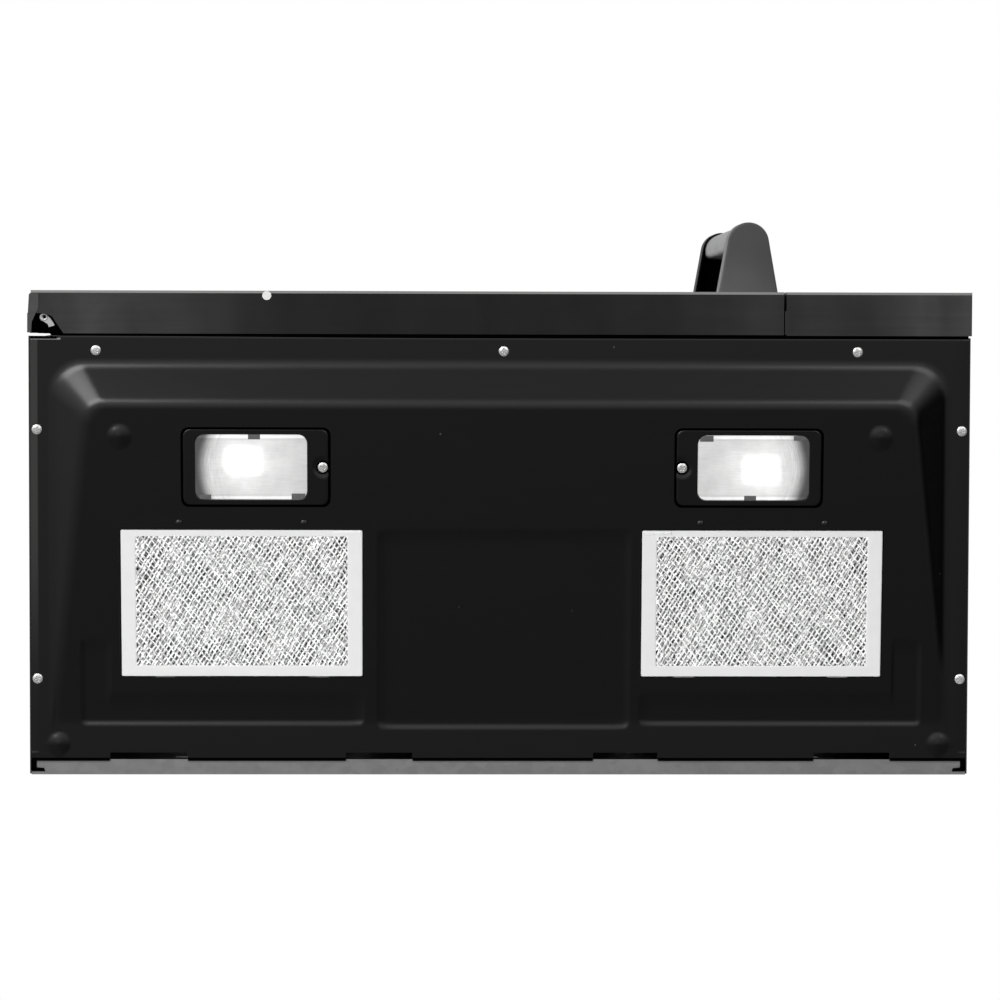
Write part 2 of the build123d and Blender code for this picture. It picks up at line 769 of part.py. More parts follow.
for name, turn in lamp_turn.items():
    side = 1 if turn == 0 else -1
    lamp_plane = place_on(panel_plane, side * lamp_offset, panel_back(lamp_back), turn=turn)

    with BuildPart() as lamp_housing:
        slab(lamp_plane.offset(base_sheet), lamp_box, 7, lamp_height, taper=9)
        slab(lamp_plane.offset(base_sheet), (lamp_box[0] + 10, lamp_box[1] + 9), 4, 0.8)
        inner_box = (lamp_box[0] - 1.6, lamp_box[1] - 1.6)
        slab(lamp_plane.offset(base_sheet), inner_box, 6.2, lamp_height - 0.8, (0, 0), Mode.SUBTRACT, 9)
        # Boss for the cover's screw at the inner end, socket at the outer end.
        boss_x = -cover_size[0] / 2 + screw_inset
        slab(lamp_plane.offset(9), (lamp_box[0] / 2 + boss_x + 4, 12), 1, 5, (boss_x - 4.5, 0))
        rod(lamp_plane.offset(5), 2.8, 12, (boss_x, 0), Mode.SUBTRACT)
        socket_plane = Plane(
            origin=lamp_plane.from_local_coords((lamp_box[0] / 2 - 4, 0, bulb_level)),
            x_dir=lamp_plane.y_dir,
            z_dir=-lamp_plane.x_dir,
        )
        rod(socket_plane, 11.0, 28)
        rod(socket_plane.offset(3), 7.6, 30, mode=Mode.SUBTRACT)
    finish(lamp_housing, f"lamp_housing_{name}")

    with BuildPart() as lamp_bulb:
        rod(socket_plane.offset(3), 7.5, 26)
        rod(socket_plane.offset(28.2), 8.5, 10)
        with Locations(socket_plane.offset(48).location):
            Sphere(15)
    finish(lamp_bulb, f"lamp_bulb_{name}")

    with BuildPart() as lamp_cover:
        slab(lamp_plane, cover_size, 6, cover_sheet)
        slab(lamp_plane, (100, cover_size[1] - 1), 8, 5, (glass_offset, 0))
        slab(lamp_plane.offset(cover_sheet), (95.6, 57.6), 8, 10, (glass_offset, 0), Mode.SUBTRACT)
        slab(lamp_plane.offset(-1), glass_size, 7.5, 10, (glass_offset, 0), Mode.SUBTRACT)
        rod(lamp_plane.offset(-1), 6.0, 1.5, (boss_x, 0), Mode.SUBTRACT)
        rod(lamp_plane.offset(-1), 2.2, 4, (boss_x, 0), Mode.SUBTRACT)
        # Two tongues reach over the panel at the outer end and carry the cover.
        edge_x = cover_size[0] / 2
        for tongue_y in (-18, 18):
            slab(lamp_plane.offset(cover_sheet), (5, 12), 0.5, 1.2, (edge_x - 2.6, tongue_y))
            slab(
                lamp_plane.offset(base_sheet + slip),
                (12, 12),
                0.5,
                1.1,
                (edge_x + 1.2, tongue_y),
            )
    finish(lamp_cover, f"lamp_cover_{name}")

    with BuildPart() as lamp_glass:
        slab(lamp_plane.offset(cover_sheet), (95, 57), 7.8, 2.4, (glass_offset, 0))
        slab(lamp_plane.offset(0.3), (glass_size[0] - 0.4, glass_size[1] - 0.4), 7.3, 2, (glass_offset, 0))
    finish(lamp_glass, f"lamp_glass_{name}")

    with BuildPart() as lamp_screw:
        rod(lamp_plane.offset(-1.5), 4.0, 2.0, (boss_x, 0))
        fillet(lamp_screw.edges().group_by(Axis.Z)[0], radius=0.9)
        rod(lamp_plane.offset(0.5), 2.0, 12.5, (boss_x, 0))
    finish(lamp_screw, f"lamp_screw_{name}")

# Grease filters: a folded channel frame round a sheet of expanded mesh.
side_border = 12.0
front_border = 5.6
rear_border = 9.0
filter_rest = 0.4

for name, side in (("left", -1), ("right", 1)):
    filter_plane = place_on(panel_plane, side * filter_offset, panel_back(filter_back), filter_rest)
    window = (filter_length - 2 * side_border, filter_width - front_border - rear_border)
    window_at = (0, (front_border - rear_border) / 2)
    cell_pitch = ((window[0] - 3.5) / 10, (window[1] - 2.5) / 8)

    with BuildPart() as filter_frame:
        slab(filter_plane, (filter_length, filter_width - filter_gap), 1.2, filter_thickness)
        channel = (filter_length - 1.6, filter_width - filter_gap - 1.6)
        slab(filter_plane.offset(0.7), channel, 0.8, filter_thickness - 1.4, mode=Mode.SUBTRACT)
        slab(filter_plane.offset(-2), window, 1, 10, window_at, Mode.SUBTRACT)
        # Finger lip at the front near the middle of the panel, and two rear tongues.
        slab(
            filter_plane.offset(-0.9),
            (22, 3),
            0.5,
            0.9,
            (-side * 84.5, -(filter_width - filter_gap) / 2 + 1.6),
        )
        for tongue_x in (-62, 62):
            slab(
                filter_plane.offset(base_sheet + slip - filter_rest),
                (16, 8),
                0.5,
                1.2,
                (tongue_x, (filter_width - filter_gap) / 2 + 3.3),
            )
    finish(filter_frame, f"filter_frame_{name}")

    with BuildPart() as filter_mesh:
        mesh_size = (channel[0] - 0.4, channel[1] - 0.4)
        slab(filter_plane.offset(0.8), mesh_size, 0.8, filter_thickness - 1.6)
        with BuildSketch(filter_plane.offset(-2)) as cells:
            with Locations(window_at):
                with GridLocations(cell_pitch[0], cell_pitch[1], 10, 8):
                    Polygon((-5.6, 0), (0, 3.8), (5.6, 0), (0, -3.8), align=None)
        extrude(amount=10, mode=Mode.SUBTRACT)
    finish(filter_mesh, f"filter_mesh_{name}")

# Screws that hold the base to the turned-in edges of the case.
with BuildPart() as cabinet_screws:
    for place in screw_places:
        head_plane = Plane.XY.offset(-2)
        rod(head_plane, 4.0, 2, (place[0], front_y + place[1]))
    fillet(cabinet_screws.edges().group_by(Axis.Z)[0], radius=1.0)
    for place in screw_places:
        rod(Plane.XY, 1.5, 7, (place[0], front_y + place[1]))
finish(cabinet_screws, "cabinet_screws")

# Control panel: a hollow moulding, a stainless surround, the touch glass and the board.
panel_back_y = front_y - panel_gap
panel_top = face_height - 1.5
trim_back = face_y + 2
panel_middle = (panel_left + half_width) / 2
glass_span = (24.0, panel_top - 24)

with BuildPart() as control_frame:
    block((panel_left, half_width), (trim_back, panel_back_y), (0, panel_top))
    block(
        (panel_left + 2.5, half_width - 2.5),
        (trim_back + 2.5, panel_back_y + 1),
        (2.5, panel_top - 2.5),
        Mode.SUBTRACT,
    )
    block(
        (panel_middle - 42, panel_middle + 42),
        (trim_back - 1, trim_back + 4),
        (glass_span[1] - 64, glass_span[1] - 18),
        Mode.SUBTRACT,
    )
    for corner_x in (panel_left + 7, half_width - 9):
        for corner_z in (9, panel_top - 10):
            block((corner_x - 4.5, corner_x + 4.5), (trim_back + 2, front_y), (corner_z - 5, corner_z + 5))
    for boss_x in (-50, 50):
        for boss_z in (60, panel_top - 60):
            rod(Plane.XZ.offset(-(trim_back + 10)), 3.5, 8, (panel_middle + boss_x, boss_z))
finish(control_frame, "control_frame")

with BuildPart() as control_trim:
    block((panel_left, half_width), (face_y, trim_back), (0, panel_top))
    with BuildSketch(Plane.XZ.offset(-trim_back - 1)):
        with Locations((panel_middle, (glass_span[0] + glass_span[1]) / 2)):
            RectangleRounded(panel_width - 22, glass_span[1] - glass_span[0], 3)
    extrude(amount=5, mode=Mode.SUBTRACT)
finish(control_trim, "control_trim")

with BuildPart() as control_glass:
    with BuildSketch(Plane.XZ.offset(-trim_back)):
        with Locations((panel_middle, (glass_span[0] + glass_span[1]) / 2)):
            RectangleRounded(panel_width - 22.4, glass_span[1] - glass_span[0] - 0.4, 2.8)
    extrude(amount=1.8)
finish(control_glass, "control_glass")

with BuildPart() as control_board:
    board_y = trim_back + 10
    block((panel_middle - 58, panel_middle + 58), (board_y, board_y + 1.6), (46, panel_top - 40))
    block(
        (panel_middle - 38, panel_middle + 38),
        (board_y - 6, board_y),
        (glass_span[1] - 60, glass_span[1] - 22),
    )
    for relay in range(4):
        relay_x = panel_middle - 48 + 25 * relay
        block((relay_x, relay_x + 16), (board_y + 1.6, board_y + 16), (70, 98))
    block((panel_middle - 30, panel_middle + 20), (board_y + 1.6, board_y + 18), (120, 164))
finish(control_board, "control_board")

# Vent grille across the top of the face, with its charcoal filter behind.
vent_pitch = (width - 27) / 6

with BuildPart() as vent_grille:
    block((-half_width, half_width), (face_y, front_y), (face_height, height))
    block(
        (-half_width + 2.5, half_width - 2.5),
        (face_y + 2.5, front_y + 1),
        (face_height + 2.5, height - 2.5),
        Mode.SUBTRACT,
    )
    with BuildSketch(Plane.XZ.offset(-face_y - 4)):
        with Locations((0, (face_height + height) / 2)):
            with GridLocations(vent_pitch, 8, 6, 4):
                Rectangle(vent_pitch - 10, 3.6)
    extrude(amount=10, mode=Mode.SUBTRACT)
    for rib in range(-2, 3):
        block(
            (rib * vent_pitch - 1, rib * vent_pitch + 1),
            (face_y + 2, face_y + 8),
            (face_height + 2, height - 2),
        )
finish(vent_grille, "vent_grille")

with BuildPart() as charcoal_filter:
    charcoal_x = (half_width - 319.5, half_width - 29.5)
    charcoal_z = (face_height + 2.5, height - 4)
    block(charcoal_x, (face_y + 9, face_y + 29), charcoal_z)
    with BuildSketch(Plane.XZ.offset(-face_y - 5)):
        with Locations((sum(charcoal_x) / 2, sum(charcoal_z) / 2)):
            with GridLocations(18.5, 1, 15, 1):
                Rectangle(14, grille_height - 15)
    extrude(amount=-10, mode=Mode.SUBTRACT)
finish(charcoal_filter, "charcoal_filter")

# Hinges: a strap comes out through the flange to a pin that enters the door's end.
hinge_x = -half_width + hinge_inset
hinge_y = front_y - hinge_forward
door_top = face_height - 1.5
strap = 2.0
notch_depth = 9.0
pin_length = 13.0

for name, up, end_level in (("lower", 1, 0.0), ("upper", -1, door_top)):
    strap_level = end_level + up * (notch_depth - 2 - strap / 2)

    with BuildPart() as hinge_bracket:
        with BuildSketch(Plane.XY.offset(strap_level - strap / 2)):
            with Locations((hinge_x, hinge_y)):
                Circle(4.6)
                Polygon((-1.5, 3.5), (3.5, -1.5), (13.5, 14.4), (13.5, 17.2), (5, 17.2), align=None)
        extrude(amount=strap)
        plate_end = strap_level + up * 34
        plate_z = sorted((strap_level - up * strap / 2, plate_end))
        block((hinge_x + 4, hinge_x + 18), (front_y + sheet, front_y + sheet + 1.6), plate_z)
        pin_start = strap_level - up * 2.2
        pin_z = sorted((pin_start, end_level + up * (notch_depth + pin_length)))
        rod(Plane.XY.offset(pin_z[0]), pin_radius, pin_z[1] - pin_z[0], (hinge_x, hinge_y))
    finish(hinge_bracket, f"hinge_bracket_{name}")

# Interlock bracket behind the flange, with the switches that the door's hooks work.
with BuildPart() as interlock_bracket:
    bracket_z = (latch_levels[0] - 26, latch_levels[1] + 26)
    bracket_y = (front_y + sheet, front_y + 30)
    block((latch_x - 11, latch_x + 11), bracket_y, bracket_z)
    for level in latch_levels:
        block(
            (latch_x - 7, latch_x + 7),
            (bracket_y[0] - 1, bracket_y[1] - 4),
            (level - 17, level + 17),
            Mode.SUBTRACT,
        )
    block(
        (latch_x - 8, latch_x + 12),
        (bracket_y[0] + 3, bracket_y[1] + 1),
        (latch_levels[0] + 22, latch_levels[1] - 22),
        Mode.SUBTRACT,
    )
finish(interlock_bracket, "interlock_bracket")

with BuildPart() as interlock_switches:
    for level in (latch_levels[0] - 8, latch_levels[1] - 12, latch_levels[1] + 10):
        block(
            (latch_x + 11, latch_x + 17),
            (front_y + 6, front_y + 26),
            (level - 8, level + 8),
        )
        rod(Plane.XZ.offset(-front_y - 6), 1.2, 2, (latch_x + 14, level + 3))
finish(interlock_switches, "interlock_switches")

# Door. Its plan is drawn once: the rear corner by the hinge is rounded about the pin so
# that it clears the cabinet as the door swings.
corner_radius = hinge_forward - slip
skin_back = face_y + 2
rear_offset = door_back - hinge_y
corner_start = (hinge_x - math.sqrt(corner_radius**2 - rear_offset**2), door_back)
corner_end = (-half_width, hinge_y + math.sqrt(corner_radius**2 - hinge_inset**2))
corner_turn = math.radians(141.5)
corner_mid = (
    hinge_x + corner_radius * math.cos(corner_turn),
    hinge_y + corner_radius * math.sin(corner_turn),
)
front_left = -half_width + 3.0
window_size = (cavity_width - 80, cavity_height - 35)
face_glass = (window_size[0] + 76, door_top - 62)
window_middle = (cavity_middle, cavity_floor + cavity_height / 2)

with BuildPart() as door_frame:
    with BuildSketch(Plane.XY):
        with BuildLine():
            Line((door_right, skin_back), (door_right, door_back))
            Line((door_right, door_back), corner_start)
            ThreePointArc(corner_start, corner_mid, corner_end)
            Line(corner_end, (front_left, skin_back))
            Line((front_left, skin_back), (door_right, skin_back))
        make_face()
    extrude(amount=door_top)
    # Window, screen seat at the front, cover seat and choke groove at the rear.
    for grow, near, far in (
        (0, skin_back - 1, door_back + 1),
        (12, skin_back - 1, skin_back + 0.8),
        (84, door_back - 2.2, door_back + 1),
    ):
        with BuildSketch(Plane.XZ.offset(-near)):
            with Locations(window_middle):
                RectangleRounded(window_size[0] + grow, window_size[1] + grow, 6)
        extrude(amount=-(far - near), mode=Mode.SUBTRACT)
    with BuildSketch(Plane.XZ.offset(-door_back)):
        with Locations(window_middle):
            RectangleRounded(window_size[0] + 66, window_size[1] + 66, 10)
            RectangleRounded(window_size[0] + 30, window_size[1] + 30, 8, mode=Mode.SUBTRACT)
    extrude(amount=18, mode=Mode.SUBTRACT)
    # Pocket for the latch bar.
    block(
        (latch_x - 5, latch_x + 5),
        (door_back - 17, door_back + 1),
        (latch_levels[0] - 18, latch_levels[1] + 18),
        Mode.SUBTRACT,
    )
    # Hinge notches and pin bores at both ends.
    for end_z, up in ((0.0, 1), (door_top, -1)):
        with BuildSketch(Plane.XY.offset(end_z - up)):
            with Locations((hinge_x, hinge_y)):
                Polygon((19, 19.5), (11.5, 9), (6, -4.5), (-5, -6), (-18, 2), (-18, 19.5), align=None)
        extrude(amount=up * (notch_depth + 1), mode=Mode.SUBTRACT)
        bore_start = end_z + up * notch_depth
        rod(
            Plane.XY.offset(bore_start),
            pin_radius + running * 0.8,
            up * (pin_length + 1),
            (hinge_x, hinge_y),
            Mode.SUBTRACT,
        )
    # Wells for the handle screws and the plug in the lower end.
    post_levels = (handle_low + post_thickness / 2, handle_low + handle_length - post_thickness / 2)
    for level in post_levels:
        rod(Plane.XZ.offset(-door_back - 1), 5.5, 25, (handle_x, level), Mode.SUBTRACT)
        rod(Plane.XZ.offset(-door_back - 1), 2.7, 60, (handle_x, level), Mode.SUBTRACT)
    plug_at = (191.8 - half_width, face_y + 3.8)
    rod(Plane.XY.offset(-1), 3.7, 5, plug_at, Mode.SUBTRACT)
finish(door_frame, "door_frame")

with BuildPart() as door_skin:
    block((front_left, door_right), (face_y, skin_back), (0, door_top))
    with BuildSketch(Plane.XZ.offset(-skin_back - 1)):
        with Locations((window_middle[0] - 16, door_top / 2)):
            RectangleRounded(*face_glass, 4)
    extrude(amount=5, mode=Mode.SUBTRACT)
    for level in post_levels:
        rod(Plane.XZ.offset(-skin_back - 1), 2.7, 10, (handle_x, level), Mode.SUBTRACT)
    rod(Plane.XY.offset(-1), 3.7, 5, plug_at, Mode.SUBTRACT)
finish(door_skin, "door_skin")

with BuildPart() as door_glass:
    with BuildSketch(Plane.XZ.offset(-skin_back)):
        with Locations((window_middle[0] - 16, door_top / 2)):
            RectangleRounded(face_glass[0] - 0.4, face_glass[1] - 0.4, 3.8)
    extrude(amount=1.9)
finish(door_glass, "door_glass")

with BuildPart() as door_screen:
    with BuildSketch(Plane.XZ.offset(-skin_back - 0.7)):
        with Locations(window_middle):
            RectangleRounded(window_size[0] + 11, window_size[1] + 11, 5.5)
            screen_pitch = ((window_size[0] - 8) / 12, (window_size[1] + 2) / 8)
            with GridLocations(*screen_pitch, 12, 8):
                SlotOverall(screen_pitch[0] - 10, 5, mode=Mode.SUBTRACT)
    extrude(amount=0.6)
finish(door_screen, "door_screen")

with BuildPart() as choke_cover:
    with BuildSketch(Plane.XZ.offset(-door_back + 0.3)):
        with Locations(window_middle):
            RectangleRounded(window_size[0] + 83.2, window_size[1] + 83.2, 5.6)
            RectangleRounded(window_size[0], window_size[1], 6, mode=Mode.SUBTRACT)
    extrude(amount=1.9)
finish(choke_cover, "choke_cover")

with BuildPart() as door_plug:
    rod(Plane.XY.offset(-0.6), 3.6, 4.4, plug_at)
finish(door_plug, "door_plug")

# Handle: two tapered posts with an oval bar between them.
tip_radius = 16.7
tip_y = face_y - handle_reach + tip_radius
handle_top = handle_low + handle_length

for name, post_z in (("lower", handle_low), ("upper", handle_top - post_thickness)):
    with BuildPart() as handle_post:
        with BuildSketch(Plane.XY.offset(post_z)):
            with Locations((handle_x, tip_y)):
                Circle(tip_radius)
            with Locations((handle_x, face_y)):
                Rectangle(post_width, 1, align=(Align.CENTER, Align.MAX))
            make_hull()
        extrude(amount=post_thickness)
        rim = [
            edge
            for edge in handle_post.faces().filter_by(Axis.Z).edges()
            if edge.center().Y < face_y - 1.5
        ]
        fillet(rim, radius=1.4)
        screw_level = post_z + post_thickness / 2
        rod(Plane.XZ.offset(-face_y - 1), 2.2, 20, (handle_x, screw_level), Mode.SUBTRACT)
    finish(handle_post, f"handle_post_{name}")

with BuildPart() as handle_bar:
    with BuildSketch(Plane.XY.offset(handle_low + post_thickness)):
        with Locations((handle_x, tip_y)):
            Ellipse(bar_width / 2, bar_thickness / 2)
    extrude(amount=handle_length - 2 * post_thickness)
finish(handle_bar, "handle_bar")

with BuildPart() as handle_screws:
    for level in post_levels:
        rod(Plane.XZ.offset(-door_back + 20), 5.0, 4, (handle_x, level))
        rod(Plane.XZ.offset(-door_back + 24), 2.1, 23, (handle_x, level))
finish(handle_screws, "handle_screws")

# Latch bar in the door's free side, with two hooks that enter the interlock bracket.
with BuildPart() as latch_hooks:
    block(
        (latch_x - 4.4, latch_x + 4.4),
        (door_back - 16.5, door_back - 8),
        (latch_levels[0] - 9, latch_levels[1] + 9),
    )
    for level in latch_levels:
        block((latch_x - 2.5, latch_x + 2.5), (door_back - 12, front_y + 18), (level - 4, level + 4))
        block((latch_x - 2.5, latch_x + 2.5), (front_y + 10, front_y + 18), (level - 8, level + 4))
finish(latch_hooks, "latch_hooks")
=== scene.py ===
"""Looks of the over the range microwave, seen from below as it hangs over a cooktop.

Metres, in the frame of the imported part: X to the right, Y towards the wall, Z up. Sizes
in the formulas are millimetres and become metres when a mesh is filled.
"""

import functools
import math

import bpy
import numpy as np
from mathutils import Matrix


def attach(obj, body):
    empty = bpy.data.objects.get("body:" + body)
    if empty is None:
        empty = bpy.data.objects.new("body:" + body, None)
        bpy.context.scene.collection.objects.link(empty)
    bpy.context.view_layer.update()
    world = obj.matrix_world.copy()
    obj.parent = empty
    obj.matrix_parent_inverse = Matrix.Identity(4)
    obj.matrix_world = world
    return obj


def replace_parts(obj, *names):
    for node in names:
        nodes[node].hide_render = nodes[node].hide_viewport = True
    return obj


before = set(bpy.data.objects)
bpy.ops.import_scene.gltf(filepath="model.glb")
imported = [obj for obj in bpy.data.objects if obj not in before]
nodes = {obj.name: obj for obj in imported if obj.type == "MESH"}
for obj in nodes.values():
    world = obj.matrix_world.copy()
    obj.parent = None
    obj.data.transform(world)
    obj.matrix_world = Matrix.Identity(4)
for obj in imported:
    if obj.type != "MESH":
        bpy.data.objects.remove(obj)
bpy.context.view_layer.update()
scene = bpy.context.scene

MM = 0.001

# Sizes shared with the solids, in millimetres.
FRONT = -353.3
FACE = -389.8
BASE_HALF = 377.4
HANDLE_X = 202.0
HANDLE_LOW = 32.5
HANDLE_TOP = 316.5
POST_THICK = 26.0
POST_TIP = 16.7
POST_FOOT = 24.15
POST_TIP_Y = FACE - 57.2 + POST_TIP
POST_ROUND = 1.5
POST_RIM = 0.5
POCKET_DEPTH = 14.0
BAR_SET_IN = 6.0
SHELL_SIDE = 378.5
SHELL_TOP = 396.0
HINGE_X = -365.0
HINGE_Y = FRONT - 15.3
BULGE_HALF = 359.5
BULGE_START = 22.5
BULGE_INNER = 53.0
BULGE_END = 310.0
BULGE_DROP = 19.5
BULGE_RUN = 31.0
BULGE_SIDE_RUN = 29.0
BULGE_CORNER = 26.0
BULGE_INNER_CORNER = 15.0
PANEL_SHIFT = 1.5
PANEL_FALL = BULGE_DROP / (BULGE_END - BULGE_INNER)
PANEL_COS = 1 / math.hypot(1, PANEL_FALL)
PANEL_SIN = PANEL_FALL * PANEL_COS
SHEET = 1.0

# The door's perforated screen, in metres: its holes' spacing, middle and half sizes.
HOLE_STEP = 0.0024
HOLE_ROW = 0.0021
SCREEN_X = -0.070
SCREEN_Z = 0.1775
SCREEN_HALF_X = 0.215
SCREEN_HALF_Z = 0.094

# Middles of the lamps and filters: x from the panel's middle and t behind the front edge.
LAMP_X = 197.3
LAMP_T = 104.5
LAMP_SCREW_X = 53.6
LENS_SHIFT = 3.8
LENS_HALF_X = 44.9
LENS_HALF_Y = 25.9
LENS_CORNER = 7.2
FILTER_X = 209.0
FILTER_T = 214.2
MESH_HALF_X = 85.4
MESH_HALF_Y = 53.1
MESH_SHIFT = 1.7
TONGUE_HALF = 6
STRAND_STEPS = 33
PRINT_THICK = 0.03

# The photograph's width and its lens, both in pixels.
PHOTO_PIXELS = 1000
FOCAL_PIXELS = 3300.0

# How the base's grid is drawn: the gap kept round an opening and the nearest that a
# loose line stands to a fixed line or to another loose one.
OPENING_MARGIN = 3.0
NEAR_FIXED = 0.35
NEAR_LINE = 0.3

# The front edge stands back by up to TRIM towards the right, fading out behind it.
TRIM = 1.15
TRIM_START = 340.0
TRIM_RUN = 300.0
TRIM_REACH = 8.0

# Sunk fields of the panel: middle x and t, half sizes and corner. A foot and an upright
# on each side make an angle round the filter.
MIDDLE_FIELD = (2.8, 235.5, 102.5, 81.3, 7.0)
SIDE_FIELDS = ((224.8, 300.5, 114.7, 13.5, 6.0), (326.5, 278.5, 13.0, 35.5, 5.0))

# The openings' half sizes in x and t, and their corners.
LAMP_OPENING = (59.9, 32.05 * PANEL_COS, 6.4)
FILTER_OPENING = (97.45, 60.1 * PANEL_COS, 1.5)

# The base's relief: how far bends are rounded, the sunk fields' rise and its run, the
# dimple's ring, and the front and side lips.
BEND_ROUND = 3.2
RIM_ROUND = (0.3, 2.6)
FIELD_RISE = 1.4
FIELD_RUN = 4.4
RING_DEPTH = 0.05
RING_AT = 0.35
RING_WIDTH = 0.12
LIP_ROLL = 0.22
LIP_RUN = 1.5
SIDE_LIP_FROM = 371.3
SIDE_LIP_TO = 335.0
SIDE_LIP_SLOPE = 0.1


# ---------------------------------------------------------------- mesh helpers


def grid_faces(rows, columns, wrap=False):
    """Quads between neighbouring points of a grid that is kept row by row."""
    r, c = np.meshgrid(np.arange(rows - 1), np.arange(columns - (not wrap)), indexing="ij")
    this, after = r * columns + c, r * columns + (c + 1) % columns
    return np.stack([this, after, after + columns, this + columns], -1).reshape(-1, 4)


def joined(parts):
    """One list of points and one of quads from several (points, quads) pairs."""
    points, quads, start = [], [], 0
    for some_points, some_quads in parts:
        points.append(np.asarray(some_points, float).reshape(-1, 3))
        quads.append(np.asarray(some_quads, int) + start)
        start += len(points[-1])
    return np.concatenate(points), np.concatenate(quads)


def make_piece(name, shape, finish, body, sharp=35.0):
    """A named mesh object filled from (points, quads) in millimetres, riding on a body.

    A quad that repeats a point at its start or end becomes a triangle.
    """
    points, quads = shape
    mesh = bpy.data.meshes.new(name)
    mesh.vertices.add(len(points))
    mesh.vertices.foreach_set("co", (np.asarray(points, float) * MM).astype(np.float32).ravel())
    quads = np.array(quads)
    turned_over = quads[:, 0] == quads[:, 1]
    quads[turned_over] = np.roll(quads[turned_over], 2, axis=1)
    repeated = quads[:, 2] == quads[:, 3]
    sizes = np.where(repeated, 3, quads.shape[1])
    keep = np.ones(quads.shape, bool)
    keep[repeated, -1] = False
    loops = quads[keep]
    mesh.loops.add(len(loops))
    mesh.loops.foreach_set("vertex_index", loops.astype(np.int32))
    mesh.polygons.add(len(quads))
    starts = np.concatenate([[0], np.cumsum(sizes)[:-1]])
    mesh.polygons.foreach_set("loop_start", starts.astype(np.int32))
    mesh.polygons.foreach_set("use_smooth", np.ones(len(quads), bool))
    mesh.update(calc_edges=True)
    mesh.validate()
    mesh.set_sharp_from_angle(angle=math.radians(sharp))
    piece = bpy.data.objects.new(name, mesh)
    scene.collection.objects.link(piece)
    mesh.materials.append(FINISHES[finish])
    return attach(piece, body)


def rounded_distance(x, y, half_x, half_y, corner):
    """Signed distance to a rounded rectangle: below zero inside it.

    Outside it is the length of the part of (|x|, |y|) beyond the rectangle that the
    corner circles' centres span, less the circles' radius.
    """
    qx = np.abs(x) - (half_x - corner)
    qy = np.abs(y) - (half_y - corner)
    outside = np.hypot(np.maximum(qx, 0), np.maximum(qy, 0))
    return outside + np.minimum(np.maximum(qx, qy), 0) - corner


def soft_min(a, b, reach):
    """The smaller of two heights, with a parabola over the bend where they are near."""
    near = np.maximum(reach - np.abs(a - b), 0) / reach
    return np.minimum(a, b) - near * near * reach / 4


def smooth_step(value):
    """0 below 0 and 1 above 1, with 3 v squared less 2 v cubed between."""
    v = np.clip(value, 0, 1)
    return v * v * (3 - 2 * v)


def panel_point(x, t):
    """A point on the sloping panel at x from its middle and t behind the front edge."""
    back = t - BULGE_INNER
    return np.array((PANEL_SHIFT + x, FRONT + BULGE_INNER + back, back * PANEL_FALL - BULGE_DROP))


PANEL_X = np.array((1.0, 0.0, 0.0))
PANEL_Y = np.array((0.0, PANEL_COS, PANEL_SIN))
PANEL_Z = np.array((0.0, -PANEL_SIN, PANEL_COS))


# ---------------------------------------------------------------- node helpers


class Wiring:
    """Nodes and links of one tree, so that a line makes a node and joins its inputs."""

    def __init__(self, tree):
        self.tree = tree

    def node(self, kind, **settings):
        made = self.tree.nodes.new("ShaderNode" + kind)
        for key, value in settings.items():
            setattr(made, key, value)
        return made

    def feed(self, node, socket, value):
        if hasattr(value, "is_output"):
            self.tree.links.new(value, node.inputs[socket])
        else:
            node.inputs[socket].default_value = value

    def fed(self, kind, *values, **settings):
        """A new node with its first inputs fed in order."""
        made = self.node(kind, **settings)
        for socket, value in enumerate(values):
            self.feed(made, socket, value)
        return made

    def math(self, operation, a, b=0.0, c=0.0):
        return self.fed("Math", a, b, c, operation=operation).outputs[0]

    def times(self, *values):
        return functools.reduce(lambda a, b: self.math("MULTIPLY", a, b), values)

    def plus(self, *values):
        return functools.reduce(lambda a, b: self.math("ADD", a, b), values)

    def minus(self, a, b):
        return self.math("SUBTRACT", a, b)

    def size(self, value):
        return self.math("ABSOLUTE", value)

    def place(self):
        """Where a point lies in its object, in metres."""
        return self.node("TexCoord").outputs["Object"]

    def axes(self, vector=None):
        """The x, y and z of a vector, or of the point's place if none is given."""
        return self.fed("SeparateXYZ", vector or self.place()).outputs[:3]

    def grey(self, level):
        return self.fed("CombineColor", level, level, level).outputs[0]

    def noise(self, vector, scale, detail=2.0, rough=0.5, distort=0.0):
        made = self.node("TexNoise")
        self.feed(made, "Vector", vector)
        self.feed(made, "Scale", scale)
        self.feed(made, "Detail", detail)
        self.feed(made, "Roughness", rough)
        self.feed(made, "Distortion", distort)
        return made.outputs["Fac"]

    def cells(self, vector, scale, feature="F1"):
        made = self.node("TexVoronoi", feature=feature)
        self.feed(made, "Vector", vector)
        self.feed(made, "Scale", scale)
        return made.outputs

    def spread(self, value, low, high, to_low=0.0, to_high=1.0, smooth=False):
        """The value's way from low to high, carried over to the way from to_low to to_high."""
        kind = "SMOOTHSTEP" if smooth else "LINEAR"
        given = (value, low, high, to_low, to_high)
        return self.fed("MapRange", *given, interpolation_type=kind).outputs[0]

    def eased(self, value, low, high, to_low=0.0, to_high=1.0):
        return self.spread(value, low, high, to_low, to_high, True)

    def mapped(self, scale, turn=(0, 0, 0)):
        made = self.node("Mapping")
        self.feed(made, "Vector", self.place())
        self.feed(made, "Scale", scale)
        self.feed(made, "Rotation", turn)
        return made.outputs[0]

    def mix(self, share, a, b):
        made = self.node("Mix", data_type="RGBA")
        self.feed(made, 0, share)
        self.feed(made, 6, a)
        self.feed(made, 7, b)
        return made.outputs[2]


